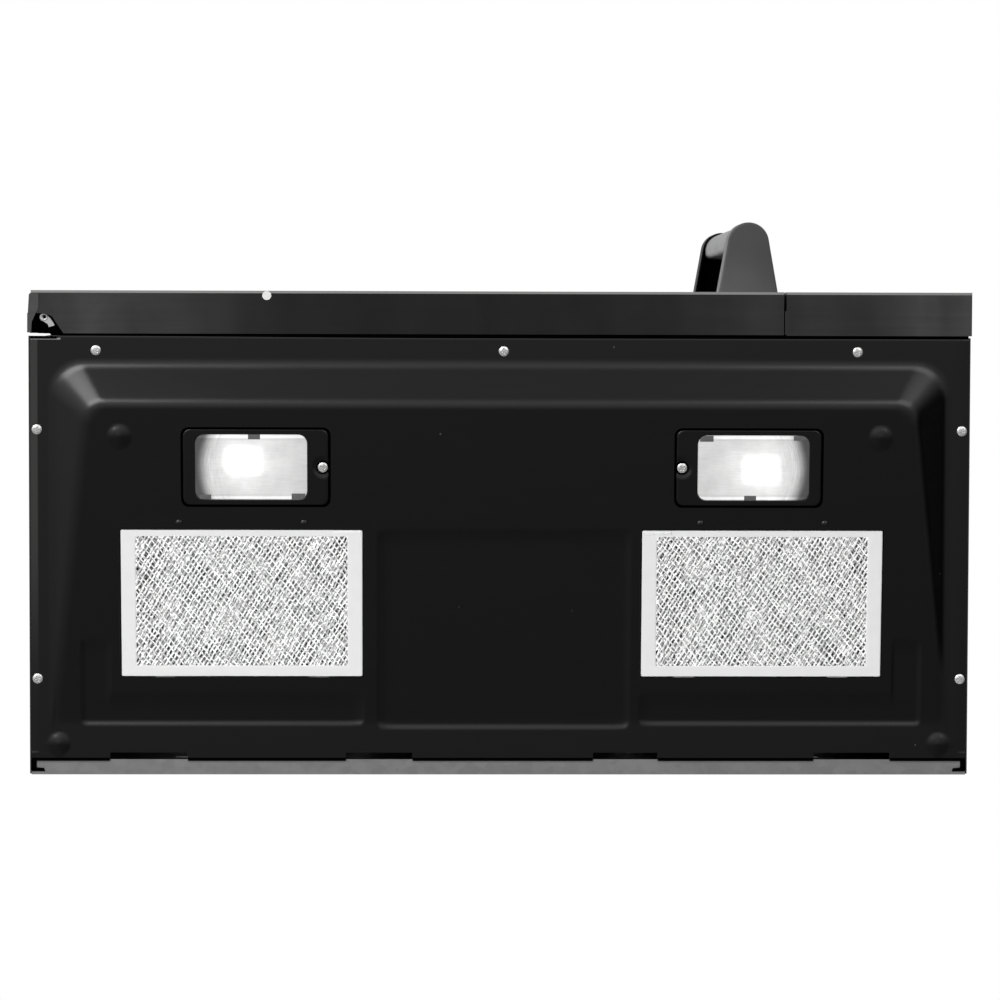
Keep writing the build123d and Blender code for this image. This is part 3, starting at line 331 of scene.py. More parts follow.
def group(name, inputs, outputs):
    """A shader node group with number inputs: its tree, wiring, inputs and output node."""
    tree = bpy.data.node_groups.new(name, "ShaderNodeTree")
    for label, value in inputs.items():
        kind = {"in_out": "INPUT", "socket_type": "NodeSocketFloat"}
        tree.interface.new_socket(label, **kind).default_value = value
    for label, kind in outputs.items():
        tree.interface.new_socket(label, in_out="OUTPUT", socket_type="NodeSocket" + kind)
    given, result = (tree.nodes.new("NodeGroup" + end) for end in ("Input", "Output"))
    return tree, Wiring(tree), given.outputs, result


def sheet_group():
    """Pressed sheet: slow cloudiness, fine grain, wipe marks and sparse dust specks."""
    tree, w, given, result = group(
        "pressed_sheet",
        {"Grain": 900.0, "Cloud": 9.0, "Specks": 260.0, "Speck Share": 0.06},
        {"Cloudiness": "Float", "Grain Height": "Float", "Wipe": "Float", "Dust": "Float"},
    )
    place = w.place()
    w.feed(result, "Cloudiness", w.noise(place, given["Cloud"], 3.0, 0.55))
    w.feed(result, "Grain Height", w.noise(place, given["Grain"], 2.0, 0.6))
    streak = w.noise(w.mapped((3, 22, 9), (0.3, 0.2, 0.6)), 5.0, 4.0, 0.65, 0.6)
    w.feed(result, "Wipe", w.eased(streak, 0.42, 0.72))
    cells = w.cells(place, given["Specks"])
    chosen = w.math("LESS_THAN", cells["Color"], given["Speck Share"])
    w.feed(result, "Dust", w.times(chosen, w.spread(cells["Distance"], 0.14, 0.3, 1.0, 0.0)))
    return tree


def brush_group():
    """Brushed metal: hair lines far longer along one axis than across it."""
    tree, w, given, result = group(
        "brushed_lines",
        {"Along": 3.0, "Across": 900.0, "Depth": 60.0},
        {"Line": "Float", "Fine Line": "Float", "Band": "Float"},
    )
    x, y, z = w.axes()
    for label, share, detail in (("Line", 1.0, 2.0), ("Fine Line", 3.1, 1.0), ("Band", 0.12, 2.0)):
        along = w.times(x, given["Along"])
        depth = w.times(y, w.times(given["Depth"], share))
        across = w.times(z, w.times(given["Across"], share))
        stretched = w.fed("CombineXYZ", along, depth, across).outputs[0]
        w.feed(result, label, w.noise(stretched, 1.0, detail, 0.6))
    return tree


def spangle_group():
    """Galvanised zinc: flat crystals a few millimetres wide, each with its own shade."""
    tree, w, given, result = group(
        "zinc_spangle", {"Crystal": 190.0}, {"Shade": "Float", "Edge": "Float", "Stain": "Float"}
    )
    place = w.place()
    wave = w.node("TexNoise")
    w.feed(wave, "Vector", place)
    w.feed(wave, "Scale", 90.0)
    offset = w.fed("VectorMath", wave.outputs["Color"], operation="SCALE")
    w.feed(offset, "Scale", 0.004)
    bent = w.fed("VectorMath", place, offset.outputs[0], operation="ADD").outputs[0]
    cells = w.cells(bent, given["Crystal"])
    w.feed(result, "Shade", w.fed("SeparateColor", cells["Color"]).outputs[0])
    w.feed(result, "Edge", w.spread(cells["Distance"], 0.3, 0.75))
    w.feed(result, "Stain", w.noise(place, 14.0, 4.0, 0.6))
    return tree


def moulding_group():
    """Moulded plastic: spark-eroded grain and faint flow marks."""
    tree, w, given, result = group(
        "moulded_grain",
        {"Grain": 1500.0, "Flow": 22.0},
        {"Grain Height": "Float", "Flow Mark": "Float"},
    )
    place = w.place()
    w.feed(result, "Grain Height", w.cells(place, given["Grain"], "SMOOTH_F1")["Distance"])
    w.feed(result, "Flow Mark", w.noise(place, given["Flow"], 3.0, 0.6, 0.8))
    return tree


SHEET_GROUP = sheet_group()
BRUSH_GROUP = brush_group()
SPANGLE_GROUP = spangle_group()
MOULDING_GROUP = moulding_group()
FINISHES = {}


class Finish(Wiring):
    """A material with one Principled shader, whose fixed numbers are set on its sockets.

    FINISHES keeps each one by its name.
    """

    def __init__(self, name, **fixed):
        self.material = FINISHES[name] = bpy.data.materials.new(name)
        self.material.use_nodes = True
        super().__init__(self.material.node_tree)
        self.shader = self.tree.nodes["Principled BSDF"]
        for key, value in fixed.items():
            self.shader.inputs[key.replace("_", " ")].default_value = value

    def use(self, tree, **values):
        made = self.node("Group", node_tree=tree)
        for key, value in values.items():
            self.feed(made, key.replace("_", " "), value)
        return made.outputs

    def colour(self, share, a, b):
        self.feed(self.shader, "Base Color", self.mix(share, (*a, 1), (*b, 1)))

    def roughness(self, value, low, high, from_low=0.2, from_high=0.8):
        self.feed(self.shader, "Roughness", self.spread(value, from_low, from_high, low, high))

    def bump(self, *layers):
        """Each layer is a height and its depth in millimetres."""
        made = self.node("Bump")
        self.feed(made, "Strength", 1.0)
        self.feed(made, "Distance", 1.0)
        self.feed(made, "Height", self.plus(*[self.times(h, depth * MM) for h, depth in layers]))
        self.feed(self.shader, "Normal", made.outputs[0])


def black_enamel():
    """Gloss black enamel over stamped steel, wiped and dusty, with a painted highlight along its
    left edge.
    """
    m = Finish("black_enamel", Specular_IOR_Level=0.5, IOR=1.5)
    sheet = m.use(SHEET_GROUP, Grain=1400.0, Cloud=14.0, Specks=330.0, Speck_Share=0.035)
    x, y, _ = m.axes()
    # Painted highlight: a pale band along the left edge, fading out towards the back.
    left_edge_painted_highlight = m.eased(x, -0.3708, -0.3722, 0.0, 0.42)
    left_edge_painted_highlight = m.times(left_edge_painted_highlight, m.eased(y, -0.22, -0.05, 1.0, 0.0))
    m.colour(m.math("MAXIMUM", sheet["Dust"], left_edge_painted_highlight), (0.0012, 0.0012, 0.0013), (0.06, 0.06, 0.058))
    m.roughness(sheet["Wipe"], 0.232, 0.25, 0.0, 1.0)
    m.bump((sheet["Grain Height"], 0.0012), (sheet["Cloudiness"], 0.06))


def powder_coat():
    """Satin black powder coat with its orange-peel grain."""
    m = Finish("powder_coat", Specular_IOR_Level=0.45)
    sheet = m.use(SHEET_GROUP, Grain=2600.0, Cloud=7.0, Specks=180.0, Speck_Share=0.03)
    m.colour(sheet["Cloudiness"], (0.018, 0.018, 0.019), (0.027, 0.027, 0.028))
    m.roughness(sheet["Cloudiness"], 0.44, 0.50)
    m.bump((sheet["Grain Height"], 0.02), (sheet["Cloudiness"], 0.1))


def galvanised():
    """Dull galvanised sheet."""
    m = Finish("galvanised", Metallic=0.85)
    zinc = m.use(SPANGLE_GROUP, Crystal=170.0)
    shade = m.plus(m.times(zinc["Shade"], 0.5), m.times(zinc["Stain"], 0.5))
    m.colour(shade, (0.34, 0.34, 0.344), (0.41, 0.41, 0.415))
    m.roughness(shade, 0.42, 0.5)
    m.bump((zinc["Edge"], 0.004))


def stainless():
    """Stainless steel brushed along its width."""
    m = Finish("stainless_brushed", Metallic=1.0)
    line = m.use(BRUSH_GROUP, Along=3.0, Across=1400.0, Depth=1400.0)
    blend = m.plus(m.times(line["Line"], 0.6), m.times(line["Band"], 0.4))
    tone = np.array((0.58, 0.58, 0.575))
    m.colour(blend, tone * 0.86, tone * 1.1)
    m.roughness(line["Line"], 0.24, 0.36)
    m.bump((line["Line"], 0.004), (line["Fine Line"], 0.002))


def satin_metal():
    """The bar's satin metal: even, with very fine lines round it and faint wipe marks."""
    m = Finish("handle_satin", Metallic=0.9)
    line = m.use(BRUSH_GROUP, Along=5.0, Across=2600.0, Depth=5.0)
    sheet = m.use(SHEET_GROUP, Grain=2200.0, Cloud=10.0)
    m.colour(line["Line"], (0.135, 0.135, 0.135), (0.165, 0.165, 0.165))
    m.roughness(sheet["Wipe"], 0.34, 0.42, 0.0, 1.0)
    m.bump((line["Fine Line"], 0.0006))


def moulded_skin(m, low, high, depth=0.012):
    """Moulded grain and roughness on a finish; gives the flow marks back."""
    skin = m.use(MOULDING_GROUP, Grain=1500.0, Flow=22.0)
    m.roughness(skin["Flow Mark"], low, high)
    m.bump((skin["Grain Height"], depth))
    return skin["Flow Mark"]


def moulded(name, dark, light, low, high):
    """Moulded plastic with a fine grain."""
    m = Finish(name)
    m.colour(moulded_skin(m, low, high), dark, light)


def post_plastic():
    """Dark grey plastic with painted light, paler low on a post's left, and painted shade, dark on
    the upper post's left wall.
    """
    m = Finish("post_plastic", Specular_IOR_Level=0.4)
    x, y, z = m.axes()
    # Painted light: paler towards a post's left and its foot.
    pale = m.times(m.eased(x, 0.226, 0.188), m.eased(y, -0.440, -0.398))
    wall = m.plus(x, m.times(y, 0.2))
    # Painted shade: the upper post's left wall goes dark, and its specular level drops with it.
    upper_wall_painted_shade = m.times(m.eased(z, 0.280, 0.294), m.eased(wall, 0.1050, 0.1032))
    flow = m.spread(moulded_skin(m, 0.40, 0.50), 0.3, 0.7, 0.92, 1.08)
    level = m.times(m.plus(0.068, m.times(pale, 0.026)), flow)
    level = m.times(level, m.spread(upper_wall_painted_shade, 0.0, 1.0, 1.0, 0.08))
    m.feed(m.shader, "Base Color", m.grey(level))
    m.feed(m.shader, "Specular IOR Level", m.spread(upper_wall_painted_shade, 0.0, 1.0, 0.4, 0.05))


def door_underside():
    """Black plastic with painted reflections: lighter towards the ends, with soft bands across its
    strips.
    """
    m = Finish("door_underside", Specular_IOR_Level=0.3)
    x = m.axes()[0]
    # Painted reflection: the ends are lighter.
    left = m.eased(x, -0.31, -0.16, 0.032, 0.006)
    right = m.plus(m.eased(x, 0.05, 0.30, 0.0, 0.017), m.eased(x, 0.30, 0.37, 0.0, 0.020))
    line = m.spread(m.noise(m.mapped((9, 240, 9)), 1.0), 0.3, 0.7, 0.92, 1.08)
    # Painted reflection: wide soft bands across the strip.
    wide = m.spread(m.noise(m.mapped((26, 3, 3)), 1.0), 0.32, 0.68, 0.78, 1.22)
    flow = m.spread(moulded_skin(m, 0.42, 0.5, 0.008), 0.3, 0.7, 0.88, 1.12)
    level = m.times(m.plus(left, right), m.times(m.times(line, wide), flow))
    m.feed(m.shader, "Base Color", m.grey(level))


def black_glass(name, share=None):
    """Black glass with faint wipe marks and dust, showing what lies under it by a share."""
    m = Finish(name, Specular_IOR_Level=0.34, IOR=1.5)
    sheet = m.use(SHEET_GROUP, Grain=600.0, Cloud=5.0, Specks=150.0, Speck_Share=0.02)
    if share:
        seen = m.math("MAXIMUM", share(m), sheet["Dust"])
        m.colour(seen, (0.0035, 0.0035, 0.004), (0.030, 0.030, 0.031))
    else:
        m.colour(sheet["Dust"], (0.004, 0.004, 0.005), (0.05, 0.05, 0.05))
    m.roughness(sheet["Wipe"], 0.07, 0.12, 0.0, 1.0)
    m.bump((sheet["Cloudiness"], 0.02))


def door_window(m):
    """How much of the perforated screen shows through the door's glass, within its border.

    Holes stand 2.4 mm apart in rows 2.1 mm apart, every other row half a step over. The
    screen fades out at the distance of the larger of |x| and |z| beyond its half sizes.
    """
    x, _, z = m.axes()
    row = m.math("DIVIDE", z, HOLE_ROW)
    step = m.times(m.math("MODULO", m.math("FLOOR", row), 2.0), 0.5)
    column = m.plus(m.math("DIVIDE", m.plus(x, 1.0), HOLE_STEP), step)
    u = m.minus(m.math("FRACT", column), 0.5)
    v = m.minus(m.math("FRACT", row), 0.5)
    metal = m.spread(m.math("SQRT", m.plus(m.times(u, u), m.times(v, v))), 0.26, 0.38)
    off_x = m.minus(m.size(m.plus(x, -SCREEN_X)), SCREEN_HALF_X)
    off_z = m.minus(m.size(m.minus(z, SCREEN_Z)), SCREEN_HALF_Z)
    inside = m.eased(m.math("SMOOTH_MAX", off_x, off_z, 0.02), -0.004, 0.0, 1.0, 0.0)
    return m.times(inside, m.plus(0.25, m.times(metal, 0.75)))


def clear_glass(name, tint, rough):
    """Clear glass with a faint tint and fine wipe marks."""
    m = Finish(name, Transmission_Weight=1.0, IOR=1.47)
    sheet = m.use(SHEET_GROUP, Grain=500.0, Cloud=12.0)
    m.colour(sheet["Dust"], tint, (0.7, 0.7, 0.7))
    m.roughness(sheet["Wipe"], rough, rough + 0.04, 0.0, 1.0)
    m.bump((sheet["Cloudiness"], 0.05))


def shining(name, colour, strength):
    """A small lit mark, a little uneven."""
    m = Finish(name, Roughness=0.4, Emission_Strength=strength)
    colour = np.array(colour)
    m.feed(m.shader, "Base Color", (*(0.3 * colour), 1))
    cloud = m.noise(m.place(), 260.0)
    m.feed(m.shader, "Emission Color", m.mix(cloud, (*colour, 1), (*(0.8 * colour), 1)))


def mottled(name, base, second, rough, metallic=0.0, scale=60.0, depth=0.02, **fixed):
    """A mottle of two colours for the small and inner pieces. A single number is a grey."""
    m = Finish(name, Metallic=metallic, **fixed)
    mottle = m.noise(m.place(), scale, 4.0, 0.6)
    m.colour(mottle, *(tone * np.ones(3) for tone in (base, second)))
    m.roughness(mottle, *rough)
    m.bump((m.noise(m.place(), scale * 14, 2.0, 0.6), depth))


def mesh_aluminium():
    """Bright mesh with painted shade: deeper layers are painted darker, most at the window's far
    and front edges, and the upper layers carry a faint painted glow.

    The depth is the distance above the panel's plane; the edge is the distance from the
    window's middle line. Dirty patches from noise, with painted shadow added towards the edges,
    darken the depth more.
    """
    m = Finish("mesh_aluminium", Metallic=0.1)
    place = m.place()
    start = tuple(panel_point(0.0, 0.0) * MM)
    away = m.fed("VectorMath", place, start, operation="SUBTRACT").outputs[0]
    depth = m.fed("VectorMath", away, tuple(PANEL_Z), operation="DOT_PRODUCT").outputs["Value"]
    x, y, _ = m.axes(place)
    # Painted shadow towards the window's edges.
    edge = m.eased(m.size(m.minus(m.size(x), FILTER_X * MM)), 0.050, 0.084)
    edge = m.math("MAXIMUM", edge, m.eased(y, -0.115, -0.088))
    cloud = m.noise(place, 110.0, 2.0, 0.5)
    dirt_and_edge_shade = m.eased(m.plus(m.times(edge, 0.20), cloud), 0.51, 0.63)
    # Painted shade: the deeper a layer lies, the darker it is painted.
    deep = m.spread(depth, 0.0010, 0.0023)
    clean, dirt_and_shade_tone = (m.mix(deep, (1.0, 1.0, 1.0, 1), (*[k] * 3, 1)) for k in (0.26, 0.005))
    fleck = m.spread(m.noise(place, 420.0, 2.0, 0.6), 0.42, 0.54, 0.52, 1.0)
    # Painted glow: a faint emission on the upper layers, though the mesh is no lamp.
    m.feed(m.shader, "Emission Color", (1.0, 1.0, 1.0, 1.0))
    painted_glow = m.times(m.eased(depth, 0.0010, 0.0018, 0.24, 0.0), fleck)
    m.feed(m.shader, "Emission Strength", painted_glow)
    toned = m.node("Mix", data_type="RGBA", blend_type="MULTIPLY")
    for socket, value in ((0, 1.0), (6, m.mix(dirt_and_edge_shade, clean, dirt_and_shade_tone)), (7, m.grey(fleck))):
        m.feed(toned, socket, value)
    m.feed(m.shader, "Base Color", toned.outputs[2])
    m.roughness(cloud, 0.4, 0.55)
    m.bump((m.noise(place, 900.0, 2.0, 0.6), 0.01))


def glow_group():
    """Light through a lamp glass, in the lamp's own plane.

    A soft block before the bulb within a wide faint halo, fine lines and blotches, bright
    margins beside the folds of the reflector, and a curved fall to dark with lines along
    it at the socket's end.
    """
    tree, w, given, result = group(
        "lamp_glow",
        {"Middle X": 0.0, "Middle Y": 0.0, "Turn": 1.0, "Bulb Y": 0.0},
        {"Light": "Color", "Lit": "Float"},
    )
    place = w.place()
    panel_x, panel_y, _ = w.axes(place)
    x = w.times(w.minus(panel_x, given["Middle X"]), given["Turn"])
    y = w.times(w.minus(panel_y, given["Middle Y"]), given["Turn"])
    off_x = w.size(w.minus(x, 0.0102))
    off_y = w.size(w.minus(y, given["Bulb Y"]))
    block_x = w.eased(off_x, 0.0085, 0.0185, 1.0, 0.0)
    block = w.times(block_x, w.eased(off_y, 0.0045, 0.0150, 1.0, 0.0))
    far = w.math("SQRT", w.plus(w.math("POWER", off_x, 2.0), w.math("POWER", off_y, 2.0)))
    halo = w.eased(far, 0.008, 0.036, 0.20, 0.0)
    blotch = w.spread(w.noise(place, 62.0, 3.0, 0.55), 0.32, 0.68, 0.80, 1.06)
    lines = w.spread(w.noise(w.mapped((60, 1500, 1)), 1.0, 2.0, 0.7), 0.3, 0.7, 0.88, 1.10)
    from_middle = w.size(y)
    bent = w.plus(x, w.times(w.math("POWER", from_middle, 2.0), 9.0))
    wave = w.fed("CombineXYZ", w.times(bent, 1500.0), w.times(y, 60.0)).outputs[0]
    streak = w.spread(w.noise(wave, 1.0, 2.0, 0.7), 0.3, 0.7, 0.62, 1.12)
    near_end = w.eased(bent, 0.018, 0.038)
    streak = w.plus(1.0, w.times(near_end, w.minus(streak, 1.0)))
    dark_end = w.eased(bent, 0.0360, 0.0480, 1.0, 0.10)
    edge = w.eased(from_middle, 0.0228, 0.0240, 0.0, 0.30)
    groove = w.spread(w.size(w.minus(from_middle, 0.0222)), 0.0002, 0.0012, 0.86, 1.0)
    inner_dim = w.eased(x, -0.041, -0.018, 0.84, 1.0)
    level = w.times(w.times(blotch, inner_dim), w.times(lines, groove))
    level = w.times(w.plus(0.45, halo, edge), level)
    total = w.times(w.plus(level, w.times(block, 0.75)), dark_end, streak)
    colour = w.fed("CombineColor", total, total, w.times(total, 0.995)).outputs[0]
    w.feed(result, "Light", colour)
    w.feed(result, "Lit", dark_end)
    return tree


GLOW_GROUP = glow_group()


def lamp_glass(name, side, bulb_y):
    """Frosted glass lit from behind: whitest before the bulb, dark at the socket's end."""
    m = Finish(f"lamp_glass_{name}", Specular_IOR_Level=0.5, IOR=1.5, Emission_Strength=1.0)
    x, y, _ = (float(k) * MM for k in panel_point(side * LAMP_X, LAMP_T))
    glow = m.use(GLOW_GROUP, Middle_X=x, Middle_Y=y, Turn=float(side), Bulb_Y=bulb_y)
    m.colour(glow["Lit"], (0.02, 0.02, 0.02), (0.30, 0.30, 0.30))
    m.feed(m.shader, "Emission Color", glow["Light"])
    m.roughness(glow["Lit"], 0.12, 0.3, 0.0, 1.0)


black_enamel()
powder_coat()
galvanised()
stainless()
satin_metal()
post_plastic()
door_underside()
mesh_aluminium()
moulded("black_plastic", (0.012, 0.012, 0.012), (0.019, 0.019, 0.019), 0.30, 0.42)
moulded("grey_plastic", (0.20, 0.20, 0.21), (0.27, 0.27, 0.28), 0.4, 0.52)
moulded("plug_white", (0.72, 0.72, 0.70), (0.80, 0.80, 0.78), 0.35, 0.5)
black_glass("black_glass_panel")
black_glass("window_glass", door_window)
clear_glass("clear_glass", (0.93, 0.97, 0.95), 0.02)
clear_glass("bulb_glass", (0.97, 0.96, 0.93), 0.10)
lamp_glass("left", -1, 0.0052)
lamp_glass("right", 1, 0.0012)
shining("display_light", (0.45, 0.88, 0.80), 1.3)
mottled("panel_print", (0.50, 0.50, 0.51), (0.58, 0.58, 0.59), (0.4, 0.5), depth=0.002)
mottled("panel_line", (0.075, 0.075, 0.077), (0.095, 0.095, 0.097), (0.4, 0.5), depth=0.002)
mottled("zinc_dull", (0.15, 0.15, 0.152), (0.19, 0.19, 0.192), (0.5, 0.6), 0.6)
mottled("oven_enamel", (0.535, 0.535, 0.525), (0.56, 0.56, 0.55), (0.27, 0.31), depth=0.003)
mottled("filter_aluminium", 0.85, 0.92, (0.42, 0.55), 0.2, 90.0)
# Near black for real dark parts, and also painted shade in gaps, a bore and along edges.
mottled("dark_liner_and_painted_shade", 0.0005, 0.0012, (0.7, 0.85), Specular_IOR_Level=0.0)
mottled("bright_steel", 0.72, 0.86, (0.25, 0.38), 0.8, 220.0, 0.01)
mottled("end_cap_grey", 0.040, 0.062, (0.45, 0.6), 0.0, 90.0, 0.01)
# A pale grey used as a painted highlight on the base's corner edge.
mottled("corner_highlight_grey", 0.22, 0.34, (0.35, 0.5), 0.3, 90.0, 0.01)
mottled("black_coat", 0.006, 0.011, (0.4, 0.5), depth=0.01)
mottled("clip_steel", 0.16, 0.22, (0.3, 0.45), 0.6, 200.0, 0.01)
mottled("cast_aluminium", (0.50, 0.51, 0.52), (0.62, 0.63, 0.64), (0.4, 0.55), 0.9, 120.0, 0.03)
mottled("screw_steel", 0.74, (0.86, 0.86, 0.85), (0.3, 0.42), 0.8, 160.0, 0.01)
mottled("mica_sheet", (0.42, 0.36, 0.27), (0.55, 0.48, 0.37), (0.4, 0.6), 0.0, 80.0, 0.03)
mottled("copper_winding", (0.45, 0.17, 0.07), (0.62, 0.26, 0.12), (0.3, 0.45), 0.9, 400.0, 0.05)
mottled("board_green", (0.02, 0.09, 0.035), (0.03, 0.13, 0.05), (0.35, 0.5), 0.0, 200.0)
mottled("charcoal_granules", 0.010, 0.045, (0.7, 0.9), 0.0, 500.0, 0.4)


# ---------------------------------------------------------------- pressed sheets


def compact(points, quads):
    """Only the points that some quad uses, with the quads renumbered."""
    used = np.unique(quads)
    new_place = np.zeros(len(points), int)
    new_place[used] = np.arange(len(used))
    return points[used], new_place[quads]


def thick_sheet(points, quads, thick):
    """A closed sheet: the surface, its copy raised by thick, and a wall at each free edge.

    Thick may also be a vector, or one for each point.
    """
    edges = np.concatenate([quads[:, [a, (a + 1) % 4]] for a in range(4)])
    edges = edges[edges[:, 0] != edges[:, 1]]
    ends = np.sort(edges, 1)
    code = ends[:, 0] * len(points) + ends[:, 1]
    first, count = np.unique(code, return_index=True, return_counts=True)[1:]
    start, stop = edges[first[count == 1]].T
    n = len(points)
    wall = np.stack([stop, start, start + n, stop + n], 1)
    raised = points + (np.array((0, 0, thick)) if np.isscalar(thick) else thick)
    return np.concatenate([points, raised]), np.concatenate([quads, quads[:, ::-1] + n, wall])


def blade(x_span, y_span, counts, level, thick):
    """A thin closed sheet over a rectangle, its height a function level(x, y).

    The counts are of the grid's lines across x and across y.
    """
    lines = [np.linspace(*span, count) for span, count in zip((x_span, y_span), counts)]
    x, y = np.meshgrid(*lines, indexing="ij")
    points = np.stack([x, y, level(x, y)], -1).reshape(-1, 3)
    return thick_sheet(points, grid_faces(*counts), thick)


def lines_between(low, high, step, fixed, fine):
    """Grid lines from low to high, with exact lines at fixed and close ones over fine.

    Each fine band is (from, to, step). Lines too near a fixed line or another one go.
    """
    loose = np.concatenate([np.arange(*band) for band in [(low, high, step), *fine]])
    exact = np.unique(np.round(np.concatenate([[low, high], fixed]), 4))
    loose = loose[(loose > low) & (loose < high)]
    loose = loose[np.abs(loose[:, None] - exact[None]).min(1) > NEAR_FIXED]
    lines = np.unique(np.round(np.concatenate([loose, exact]), 4))
    spaced = [lines[0]]
    for line in lines[1:]:
        if line - spaced[-1] > NEAR_LINE or np.abs(exact - line).min() < 1e-6:
            spaced.append(line)
    return np.array(spaced)


def opening_band(points, xs, ts, opening):
    """The loop of grid points round an opening's gap, and its outline's nearest points."""
    cx, ct, half_x, half_t, corner = opening
    n = len(xs)
    ix = np.where(np.abs(xs - cx) < half_x + OPENING_MARGIN + 0.01)[0]
    it = np.where(np.abs(ts - ct) < half_t + OPENING_MARGIN + 0.01)[0]
    ways_out = [it[0] * n + ix[:-1], it[:-1] * n + ix[-1]]
    ways_back = [it[-1] * n + ix[:0:-1], it[:0:-1] * n + ix[0]]
    loop = np.concatenate(ways_out + ways_back)
    edge = points[loop] - (cx, ct)
    reach = np.array((half_x - corner, half_t - corner))
    core = np.clip(edge, -reach, reach)
    away = edge - core
    away /= np.linalg.norm(away, axis=1)[:, None]
    return loop, core + away * corner + (cx, ct)


def pressed_sheet(xs, ts, level, openings, notches):
    """A pressed sheet over a grid of lines, its height a function level(x, t).

    Notches (x0, x1, t0, t1) leave cells out. Round an opening (x, t, half x, half t,
    corner) the cells go too, and a band joins the gap's edge to the rounded outline:
    each edge point moves to the outline's nearest point.
    """
    x, t = np.meshgrid(xs, ts)
    points = np.stack([x.ravel(), t.ravel()], 1)
    quads = grid_faces(len(ts), len(xs))
    mid_x, mid_t = points[quads].mean(1).T
    keep = np.ones(len(quads), bool)
    for x0, x1, t0, t1 in notches:
        keep &= ~((mid_x > x0) & (mid_x < x1) & (mid_t > t0) & (mid_t < t1))
    for cx, ct, half_x, half_t, _ in openings:
        out_x, out_t = half_x + OPENING_MARGIN, half_t + OPENING_MARGIN
        keep &= ~((np.abs(mid_x - cx) < out_x) & (np.abs(mid_t - ct) < out_t))
    quads = quads[keep]
    flat = [points]
    start = len(points)
    for opening in openings:
        loop, rim = opening_band(points, xs, ts, opening)
        around = np.arange(len(loop))
        after = (around + 1) % len(loop)
        flat += [(points[loop] + rim) / 2, rim]
        middle, inner = start + around, start + len(loop) + around
        for outer_ring, inner_ring in ((loop, middle), (middle, inner)):
            ring = [outer_ring, outer_ring[after], inner_ring[after], inner_ring]
            quads = np.concatenate([quads, np.stack(ring, 1)])
        start += 2 * len(loop)
    flat, quads = compact(np.concatenate(flat), quads)
    x, t = flat.T
    y = FRONT + t + front_trim(x) * np.clip(1 - t / TRIM_REACH, 0, 1)
    return np.column_stack([x, y, level(x, t)]), quads


def front_trim(x):
    """How far the base's front edge stands back: it runs slightly out of square."""
    return TRIM * smooth_step((x + TRIM_START) / TRIM_RUN)


# Each dimple's middle (x and t), radius and height.
DIMPLES = [(side * 304.5, 80.0, 9.8, 2.4) for side in (-1, 1)]
DIMPLES += [(side * 355.0, 328.0, 9.3, 2.3) for side in (-1, 1)]


def panel_fields(x, t):
    """Distance to the nearest sunk field: a rectangle and an angle round each filter."""
    mid_x, mid_t, *size = MIDDLE_FIELD
    fields = [rounded_distance(x - mid_x, t - mid_t, *size)]
    for side in (-1, 1):
        for mid_x, mid_t, *size in SIDE_FIELDS:
            fields.append(rounded_distance(x - PANEL_SHIFT - side * mid_x, t - mid_t, *size))
    return np.minimum.reduce(fields)


def bulge_share(x, t):
    """How far down the bulge's side a point lies: 0 at its rim, 1 at its inner outline.

    Along straight sides this is the distance from the rim over the run. Between the
    corner arcs it solves |q - s c| = R + s (r - R), where the arc's centre moves by c
    and its radius falls from R to r as s goes from 0 to 1.
    """
    from_side = BULGE_HALF - np.abs(x)
    from_front = t - BULGE_START
    straight = np.minimum(from_side / BULGE_SIDE_RUN, from_front / BULGE_RUN)
    move_x = BULGE_SIDE_RUN + BULGE_INNER_CORNER - BULGE_CORNER
    move_t = BULGE_RUN + BULGE_INNER_CORNER - BULGE_CORNER
    shrink = BULGE_INNER_CORNER - BULGE_CORNER
    qx, qt = from_side - BULGE_CORNER, from_front - BULGE_CORNER
    a = move_x**2 + move_t**2 - shrink**2
    b = qx * move_x + qt * move_t + BULGE_CORNER * shrink
    c = qx**2 + qt**2 - BULGE_CORNER**2
    share = (b + np.sqrt(np.clip(b * b - a * c, 0, None))) / a
    in_corner = (qx < share * move_x) & (qt < share * move_t)
    return np.where(in_corner, share, straight)


def base_level(x, t):
    """Height of the base's underside at x, a distance t behind its front edge.

    The depth below the rim is the smaller of the side slope, which grows with the
    distance inside the bulge's outline, and the panel, which rises towards the back; a
    parabola rounds both bends. Fields are sunk by a soft step up, dimples stand down.
    """
    slope = bulge_share(x, t) * BULGE_DROP
    panel = BULGE_DROP - (t - BULGE_INNER) * PANEL_FALL
    inside = soft_min(slope, panel, BEND_ROUND)
    reach = RIM_ROUND[0] + RIM_ROUND[1] * smooth_step((panel - slope) / 3 + 0.5)
    depth = -soft_min(-inside, 0 * inside, reach)
    depth = depth - FIELD_RISE * smooth_step(-panel_fields(x, t) / FIELD_RUN)
    for dimple_x, dimple_t, radius, proud in DIMPLES:
        r = np.hypot(x - dimple_x, t - dimple_t) / radius
        dome = (1 - np.clip(r, 0, 1) ** 2) ** 1.3
        ring = RING_DEPTH * np.exp(-(((r - RING_AT) / RING_WIDTH) ** 2))
        depth = depth + proud * (dome - ring)
    roll = LIP_ROLL * np.clip(1 - t / LIP_RUN, 0, 1) ** 2
    side_lip = SIDE_LIP_SLOPE * np.clip(np.abs(x) - SIDE_LIP_FROM, 0, None) * (t < SIDE_LIP_TO)
    return -depth + side_lip + roll


